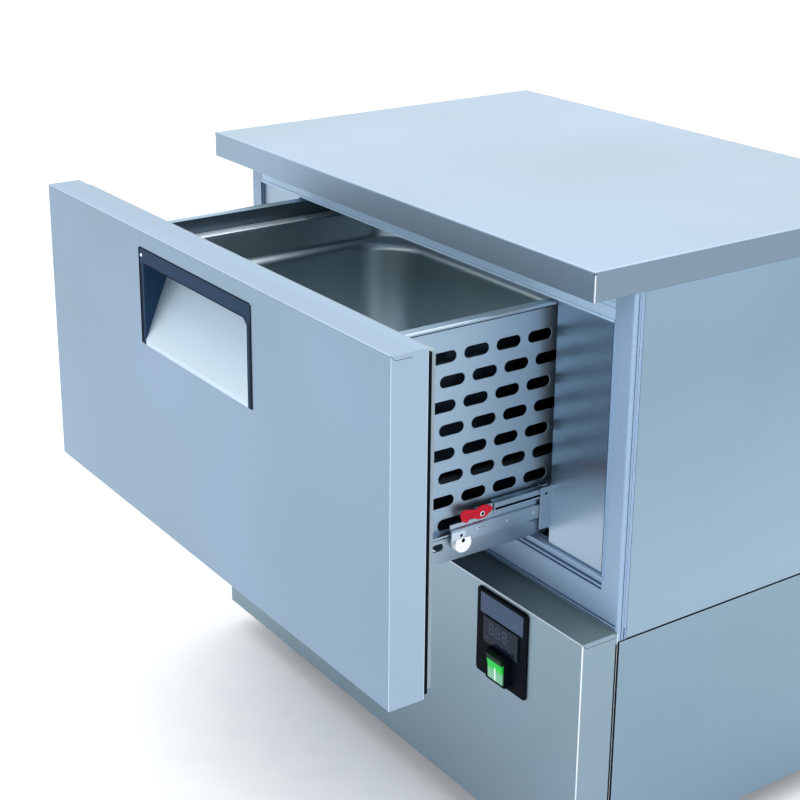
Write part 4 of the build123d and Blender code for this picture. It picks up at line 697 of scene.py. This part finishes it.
def frame_ribs():
    """The extruded frame's fine ribs and grooves: fluting on its sides and beads along both rails.

    A short slit stands at the foot of its right side. Its grooves, the slit and the joint by the opening are
    flat strips in a darker vinyl, painted shade in the grooves and the slit."""
    stile_low, stile_high = corners("frame_stile_right")
    low, high = corners("frame_rail_bottom")
    top_low, top_high = corners("frame_rail_top")
    lip, rib, proud, film = 1.5, 1.0, 0.5, 0.06
    face, side = low.y + lip, stile_high.x
    reach, foot, head = side - 4, stile_low.z, stile_high.z
    flutes, groove = (3.0, 6.6, 10.2), 1.9
    long_beads, short_beads = (12.2, 17.4), (48.6, 54.6)
    long_grooves, short_grooves = ((10.8, 1.2), (14.6, 1.4)), ((46.0, 1.2), (50.6, 3.2))
    top_beads, top_proud = (9.0, 16.0, 25.0), 0.25
    slit_start, slit_end, slit_head = face + 7.4, face + 9.0, foot + 13
    shape, dark = bmesh.new(), bmesh.new()
    for depth in flutes:
        start = face + depth
        block(shape, (side - 1, start, foot), (side + proud, start + rib, head))
        block(dark, (side - 1, start + rib, foot), (side + film, start + groove, head))
    block(dark, (stile_low.x, low.y - film, high.z), (stile_low.x + 0.9, low.y + 1, top_low.z))
    mirrored(shape)
    mirrored(dark)
    for beads, grooves, far in ((long_beads, long_grooves, reach), (short_beads, short_grooves, high.x)):
        for rise in beads:
            level = low.z + rise
            block(shape, (-far, face - proud, level), (far, face + 1, level + rib))
        for rise, wide in grooves:
            level = low.z + rise
            block(dark, (-far, face - film, level), (far, face + 1, level + wide))
    block(dark, (side - 3.4, slit_start, foot), (side + 0.6, slit_end, slit_head))
    eased(shape, 0.25)
    piece("frame_beads", shape, frame_vinyl, "cabinet", "frame_vinyl")
    # Painted shade: flat dark strips stand for the grooves and the slit
    piece("frame_grooves", dark, groove_vinyl, "cabinet", "frame_vinyl")
    # The top rail's ribs share its painted light
    shape = bmesh.new()
    for drop in top_beads:
        level = top_high.z - drop
        block(shape, (top_low.x, face - top_proud, level - rib), (top_high.x, face + 1, level))
    eased(shape, 0.2)
    piece("top_rail_ribs", shape, painted_light_vinyl, "cabinet", "frame_vinyl")


def ring(shape, half_x, half_y, middle_y, corner, height):
    """Adds one level outline with rounded corners, in millimetres, and gives back its edges."""
    signs = ((1, -1), (1, 1), (-1, 1), (-1, -1))
    rounded_outline(shape, [(x * half_x, middle_y + y * half_y, height) for x, y in signs], corner, 12)
    edges = shape.faces[0].edges[:]
    shape.faces.remove(shape.faces[0])
    return edges


def drawn_pan():
    """The deep drawn pan: a flat flange, a leaning stack wall, a rounded shoulder and a drafted well."""
    low, high = corners("pan")
    flange, sheet, bottom_round, draft = 19.0, 0.9, 22.0, math.radians(3)
    rim_x, rim_y, middle_y = high.x - flange, (high.y - low.y) / 2 - flange, (low.y + high.y) / 2
    top, shoulder, wall_foot = high.z, high.z - 39, low.z + bottom_round
    well, well_top, well_corner = -11.8, shoulder - 9.0, 60
    foot_corner, corner_step, quarter = 58, 6, 4
    # How far out from the stack wall's top, the corner's radius and the height of each ring
    stations = [
        (flange, 4, top - 1.1),
        (flange - 0.3, 4, top - 0.4),
        (flange - 1.0, 4, top - 0.2),
        (11.0, 22, top - 0.1),
        (3.2, 42, top),
        (1.0, 41, top - 0.9),
        (0.0, 40, top - 3.0),
        (-3.4, 40, shoulder + 8.0),
        (-4.2, 40.5, shoulder + 4.0),
        (-6.0, 42, shoulder + 1.6),
        (-8.2, 46, shoulder + 0.4),
        (-10.0, 52, shoulder - 1.2),
        (-11.2, 57, shoulder - 4.4),
        (well, well_corner, well_top),
    ]
    foot_out = well - math.tan(draft) * (well_top - wall_foot)
    for step in range(quarter + 1):
        turn = math.pi / 2 * step / quarter
        out = foot_out - bottom_round * (1 - math.cos(turn))
        height = wall_foot - bottom_round * math.sin(turn) + sheet
        stations.append((out, foot_corner - corner_step * step, height))
    shape = bmesh.new()
    rings = [
        ring(shape, rim_x + out, rim_y + out, middle_y, corner, height) for out, corner, height in stations
    ]
    for upper, lower in zip(rings, rings[1:]):
        bmesh.ops.bridge_loops(shape, edges=upper + lower)
    bmesh.ops.contextual_create(shape, geom=rings[-1])
    bmesh.ops.recalc_face_normals(shape, faces=shape.faces)
    bmesh.ops.solidify(shape, geom=shape.faces[:], thickness=sheet * MM)
    piece("drawn_pan", shape, pan_steel, "drawer", "pan_steel", "pan")


def box_hems():
    """The rounded hem along the outward lip of each side of the drawer box, paler as a painted highlight,
    and a black strip of painted shadow under it.
    """
    low, high = corners("box_side_right")
    hem = 1.5
    shape = bmesh.new()
    line_x, line_z = high.x - hem * 0.4, high.z - hem * 0.6
    rod(shape, (line_x, low.y + 1, line_z), (line_x, high.y - 1, line_z), hem)
    eased(shape, 0.4)
    mirrored(shape)
    piece("box_hems", shape, plate_and_highlight_sheet, "drawer", "liner_steel")
    # Painted shadow: a black strip under the hem
    start, joint_foot, joint_top, proud = low.y + 14, high.z - 3.9, high.z - 3.2, 0.08
    shape = bmesh.new()
    block(shape, (high.x - 0.5, start, joint_foot), (high.x + proud, high.y - 1, joint_top))
    mirrored(shape)
    piece("box_hem_shadows", shape, joint_and_shade_black, "drawer", "black_plastic")


def slide_plates(side, word):
    """The front end of an intermediate member: its plate, stop slot and rivets, and the roller's face."""
    low, high = corners("intermediate_right")
    web, proud, sunk = high.x, 0.35, 0.5
    front, bottom = low.y, low.z + 5.2
    foot, plate_top, plate_back = bottom + 3.5, bottom + 12, front + 17
    slot_start, slot_end, slot_foot, slot_top = front + 30, front + 44, bottom + 8.0, bottom + 11.2
    track_start, track_end = front + 54, high.y - 2
    rivet_z, rivet_places, track_lips, lip = bottom + 7, (70.0, 104.0), (22.2, 25.8), 0.9
    shape = bmesh.new()
    outline = [(front, foot), (plate_back, foot), (plate_back, plate_top), (front, plate_top)]
    plate(shape, outline, web - 0.8, web + proud, 1.5)
    block(shape, (web - sunk, slot_start, slot_foot), (web + proud, slot_end, slot_top))
    for rise in track_lips:
        lip_foot = bottom + rise
        block(shape, (web - sunk, track_start, lip_foot), (web + proud, track_end, lip_foot + lip))
    for place in rivet_places:
        rod(shape, (web - sunk, front + place, rivet_z), (web + proud, front + place, rivet_z), 2.4, 2.0)
    eased(shape, 0.15, 1)
    on_side(shape, side)
    piece(f"slide_end_plate_{word}", shape, plate_and_highlight_sheet, f"intermediate_{word}", "slide_steel")
    axle_low, axle_high = corners("front_roller_right")
    axle_y, axle_z = (axle_low.y + axle_high.y) / 2, (axle_low.z + axle_high.z) / 2
    radius, steps = (axle_high.y - axle_low.y) / 2, 16
    turns = [math.pi + math.pi * step / steps for step in range(steps + 1)]
    rim = [(axle_y + radius * math.cos(turn), axle_z + radius * math.sin(turn)) for turn in turns]
    cut_half, cut_top = radius * 0.85, foot - 0.2
    rim += [(axle_y + cut_half, cut_top), (axle_y - cut_half, cut_top)]
    shape = bmesh.new()
    plate(shape, rim, web + 0.05, web + proud, 0.3, 1)
    on_side(shape, side)
    piece(f"roller_face_{word}", shape, roller_nylon, f"intermediate_{word}", "nylon")
    # Painted shade: black discs and strips for the pin hole, the rivet hole, the stop slot and the channel
    # between the track lips
    pin_z, hole_y, film = foot - 2.6, front + 12, proud + 0.08
    shape = bmesh.new()
    rod(shape, (web, axle_y, pin_z), (web + proud + 0.1, axle_y, pin_z), 2.1)
    block(shape, (web, track_start, bottom + 23.3), (web + proud / 2, track_end, bottom + 25.6))
    rod(shape, (web, hole_y, rivet_z), (web + film, hole_y, rivet_z), 1.7)
    block(shape, (web, slot_start + 2.0, bottom + 9.2), (web + film, slot_end - 1.6, bottom + 9.9))
    on_side(shape, side)
    piece(f"slide_hole_shades_{word}", shape, joint_and_shade_black, f"intermediate_{word}", "black_plastic")


def release_lever(side, word):
    """A moulded release lever with a thumb lobe, a pivot lobe and stiffening ribs, and its hollow rivet."""
    low, high = corners("release_lever_right")
    pivot_y, pivot_z = low.y + 27.0, high.z - 7.2
    body, face, rib = f"release_lever_{word}", high.x, high.x + 0.9
    outline = [
        (low.y, high.z - 2.5),
        (low.y + 3, high.z + 1.5),
        (low.y + 12, high.z + 0.4),
        (low.y + 19, high.z - 1.4),
        (low.y + 26, high.z + 1.6),
        (low.y + 34, high.z + 0.4),
        (high.y, high.z - 4.0),
        (high.y - 3, high.z - 7.5),
        (pivot_y + 3, low.z - 1.0),
        (pivot_y - 5, low.z - 0.6),
        (low.y + 13, high.z - 8.5),
        (low.y + 8, low.z - 1.5),
        (low.y + 2, high.z - 9.5),
    ]
    shape = bmesh.new()
    plate(shape, outline, low.x, face + 0.3, 1.8)
    block(shape, (low.x, low.y + 4, high.z - 4.6), (rib, low.y + 20, high.z - 3.4))
    block(shape, (low.x, low.y + 5, high.z - 7.6), (rib, low.y + 14, high.z - 6.6))
    eased(shape, 0.25)
    rod(shape, (low.x, pivot_y, pivot_z), (face + 0.7, pivot_y, pivot_z), 4.4)
    on_side(shape, side)
    piece(f"{body}_moulding", shape, lever_plastic, body, "red_plastic", body)
    shape = bmesh.new()
    rod(shape, (face, pivot_y, pivot_z), (face + 0.8, pivot_y, pivot_z), 3.4, 2.9)
    eased(shape, 0.2)
    on_side(shape, side)
    piece(f"lever_rivet_{word}", shape, bright_zinc, body, "slide_steel")
    # Painted shade: a black disc for the hollow rivet's bore
    shape = bmesh.new()
    rod(shape, (face + 0.4, pivot_y, pivot_z), (face + 0.88, pivot_y, pivot_z), 1.7)
    on_side(shape, side)
    piece(f"lever_rivet_hole_{word}", shape, joint_and_shade_black, body, "black_plastic")


def slide_hooks():
    """The bright end tab of each cabinet member, with its hole and the small bent hook on its top."""
    low, high = corners("cabinet_rail_right")
    hole_y, hole_z, tab, hook, rise, sheet = low.y + 7, high.z - 9, 46, 7, 1.4, 1.4
    hook_front, hook_back, hook_top = low.y + 1, low.y + 8, high.z + rise
    # Painted shade: a thin black disc for the tab's hole
    shape = bmesh.new()
    rod(shape, (high.x, hole_y, hole_z), (high.x + 0.2, hole_y, hole_z), 1.5)
    mirrored(shape)
    piece("slide_tab_holes", shape, joint_and_shade_black, "cabinet", "black_plastic")
    shape = bmesh.new()
    block(shape, (high.x - 0.5, low.y + 0.4, high.z - tab), (high.x + 0.12, low.y + 12, high.z - 2))
    block(shape, (high.x - hook, hook_front, high.z), (high.x - 0.1, hook_back, hook_top))
    block(shape, (high.x - hook, hook_front, high.z - 3), (high.x - hook + sheet, hook_back, hook_top))
    eased(shape, 0.3)
    mirrored(shape)
    piece("slide_hooks", shape, slide_steel, "cabinet", "slide_steel")


def digit(shape, left, bottom, face):
    """One seven-segment figure of an unlit display."""
    width, height, bar, film, sunk = 7.5, 13.0, 1.3, 0.06, 0.3
    for level in (0, (height - bar) / 2, height - bar):
        low = (left + bar, face - film, bottom + level)
        block(shape, low, (left + width - bar, face + sunk, bottom + level + bar))
    for stand in (0, width - bar):
        for foot in (bar * 0.8, height / 2 + bar * 0.2):
            low = (left + stand, face - film, bottom + foot)
            block(shape, low, (left + stand + bar, face + sunk, bottom + foot + height / 2 - bar))


def bezel_places():
    """The bezel's corners, the depth of its sunk face and the depth that its inserts reach."""
    low, high = corners("control_bezel")
    return low, high, low.y + 5.0, low.y + 5.6


def control_label():
    """The label film over the display, with nothing on it."""
    low, high, face, root = bezel_places()
    left, right, foot, head = low.x + 6, high.x - 6.5, high.z - 27.5, high.z - 4.5
    shape = bmesh.new()
    block(shape, (left, face - 0.35, foot), (right, root, head))
    eased(shape, 0.12, 1)
    piece("bare_label", shape, label_film, "cabinet", "display_plastic")


def display():
    """The display's window, its unlit figures and signs, and the dark frame over it and at its right."""
    low, high, face, root = bezel_places()
    left, right, head, glass, proud = low.x + 12, high.x - 14, high.z - 30.0, 30.0, 0.5
    foot = head - glass
    shape = bmesh.new()
    block(shape, (left, face - proud, foot), (right, root, head))
    eased(shape, 0.2)
    piece("display_window", shape, display_plastic, "cabinet", "display_plastic")
    figures, figure_pitch, figure_start, figure_foot = 3, 11, low.x + 21, head - 17.5
    signs, sign_pitch, sign_start, sign_length = 4, 12.5, low.x + 15.5, 5
    sign_foot, sign_head, sign_front = head - 24.5, head - 23.3, face - 0.56
    shape = bmesh.new()
    for place in range(figures):
        digit(shape, figure_start + place * figure_pitch, figure_foot, face - proud)
    for place in range(signs):
        start = sign_start + place * sign_pitch
        block(shape, (start, sign_front, sign_foot), (start + sign_length, face - 0.2, sign_head))
    piece("display_figures", shape, ghost_film, "cabinet", "display_plastic")
    frame_front, frame_right, bar, edge = face - 0.7, high.x - 11, 2, 1.4
    shape = bmesh.new()
    block(shape, (frame_right - bar, frame_front, foot + 2), (frame_right, root, head - 1))
    block(shape, (left, frame_front, head), (frame_right, root, head + edge))
    eased(shape, 0.2)
    piece("display_frame", shape, joint_and_shade_black, "cabinet", "black_plastic")


def switch_surround():
    """The dark rim that the lit rocker sits in."""
    root = bezel_places()[3]
    lens_low, lens_high = corners("rocker")
    gap, wall, reach = 0.4, 1.6, lens_low.y + 3
    left, right, foot, head = lens_low.x - gap, lens_high.x + gap, lens_low.z - gap, lens_high.z + gap
    shape = bmesh.new()
    for side in (left - wall, right):
        block(shape, (side, reach, foot - wall), (side + wall, root, head + wall))
    for level in (foot - wall, head):
        block(shape, (left, reach, level), (right, root, level + wall))
    eased(shape, 0.4)
    piece("switch_surround", shape, joint_and_shade_black, "cabinet", "black_plastic")


def panel_screws():
    """Washer-head screws that hold the back panel and the louvred grille."""
    washer, head, inset = 0.9, 2.4, 9
    panel_levels, grille_levels = (25, 180, 325), (20, 128, 236)
    shape = bmesh.new()
    for node, levels in (("back_panel", panel_levels), ("back_grille", grille_levels)):
        low, high = corners(node)
        for side in (RIGHT, LEFT):
            for rise in levels:
                place = Vector((side * (high.x - inset), high.y, low.z + rise))
                seat, end = place + Vector((0, washer, 0)), place + Vector((0, head, 0))
                rod(shape, place, seat, 5.0, 4.6)
                rod(shape, seat, end, 3.4, 2.6)
    eased(shape, 0.2)
    piece("panel_screws", shape, bright_zinc, "cabinet", "zinc_foot")


# How far each folded sheet's or moulding's sharp edges are broken, in millimetres
sharp_edges = {
    "front_skin": 0.7,
    "side_panel": 0.5,
    "machine_front": 1.0,
    "machine_side": 0.5,
    "box_side": 0.45,
    "intermediate": 0.3,
    "cabinet_rail": 0.3,
    "drawer_rail": 0.3,
    "handle_frame": 0.6,
    "control_bezel": 0.4,
}
for name, width in sharp_edges.items():
    for node in (name, f"{name}_right", f"{name}_left"):
        if node in cad:
            broken_edges(node, width)
worktop_corners()
lap_joints("front_skin", "drawer", 22.0)
lap_joints("machine_front", "cabinet", 44.0)
painted_fold_highlights("machine_front", "cabinet", 0.7, highlight_steel)
painted_fold_highlights("front_skin", "drawer", 0.4, plate_and_highlight_sheet)
machine_joint_shade()
seal_rivets()
seal_retainer_shade()
handle_bead()
handle_gusset()
handle_screw()
drawn_pan()
frame_ribs()
box_hems()
for side, word in ((RIGHT, "right"), (LEFT, "left")):
    slide_plates(side, word)
    release_lever(side, word)
slide_hooks()
control_label()
display()
switch_surround()
panel_screws()


# Studio


def studio_camera():
    """The photograph's viewpoint: a long lens from the front right, shifted down and a little right."""
    azimuth, elevation, place = math.radians(56.372), math.radians(18.193), (1.405, -1.094, 1.117)
    picture, focal_length, axis_x, axis_y = 800, 1650, 356, 300  # in the photograph's pixels
    back = Vector((
        math.sin(azimuth) * math.cos(elevation),
        -math.cos(azimuth) * math.cos(elevation),
        math.sin(elevation),
    ))
    right = Vector((0, 0, 1)).cross(back).normalized()
    up = back.cross(right)
    camera = bpy.data.objects.new("camera", bpy.data.cameras.new("camera"))
    camera.matrix_world = Matrix.Translation(place) @ Matrix((right, up, back)).transposed().to_4x4()
    camera.data.lens = focal_length / picture * camera.data.sensor_width
    camera.data.shift_x = (picture / 2 - axis_x) / picture
    camera.data.shift_y = (axis_y - picture / 2) / picture
    bpy.context.scene.collection.objects.link(camera)
    bpy.context.scene.camera = camera


def softbox(name, place, size, power, colour):
    """A wide area light that looks at the middle of the counter."""
    light = bpy.data.lights.new(name, "AREA")
    light.size = size
    light.energy = power
    light.color = linear(colour)[:3]
    lamp = bpy.data.objects.new(name, light)
    lamp.location = place
    counter_middle = Vector((0, 0, 0.45))
    lamp.rotation_euler = (counter_middle - Vector(place)).to_track_quat("-Z", "Y").to_euler()
    bpy.context.scene.collection.objects.link(lamp)


def studio_floor():
    """A wide pale floor."""
    floor = bmesh.new()
    bmesh.ops.create_grid(floor, x_segments=1, y_segments=1, size=20)
    mesh = bpy.data.meshes.new("floor")
    floor.to_mesh(mesh)
    floor.free()
    material, tree, shader, place = finish("pale studio floor")
    texture = {"Vector": place, "Scale": 1 / (40 * MM), "Detail": 3.0}
    grain = add(tree, "ShaderNodeTexNoise", texture).outputs["Fac"]
    colour = add(tree, "ShaderNodeValToRGB", {"Fac": grain}, ((0.3, "#F3F5F7"), (0.7, "#F7F8FA")))
    plug(tree, shader, {"Base Color": colour.outputs["Color"], "Roughness": 0.8})
    mesh.materials.append(material)
    plane = bpy.data.objects.new("floor", mesh)
    bpy.context.scene.collection.objects.link(plane)


def studio_world():
    """White surroundings that grow brighter overhead, as under a wide ceiling light."""
    world = bpy.data.worlds.new("studio")
    bpy.context.scene.world = world
    world.use_nodes = True
    tree = world.node_tree
    horizon, overhead = 1.0, 1.6
    direction = add(tree, "ShaderNodeTexCoord").outputs["Generated"]
    height = add(tree, "ShaderNodeSeparateXYZ", {"Vector": direction}).outputs["Z"]
    level = {"Value": height, "From Min": 0.15, "From Max": 0.7, "To Min": horizon, "To Max": overhead}
    brightness = add(tree, "ShaderNodeMapRange", level).outputs["Result"]
    shader = tree.nodes["Background"]
    shader.inputs["Color"].default_value = linear("#FFFFFF")
    tree.links.new(brightness, shader.inputs["Strength"])


studio_camera()
studio_floor()
studio_world()
softbox("overhead softbox", (0.2, -0.2, 2.6), 2.4, 14, "#FFFFFF")
bpy.context.scene.view_settings.view_transform = "Standard"
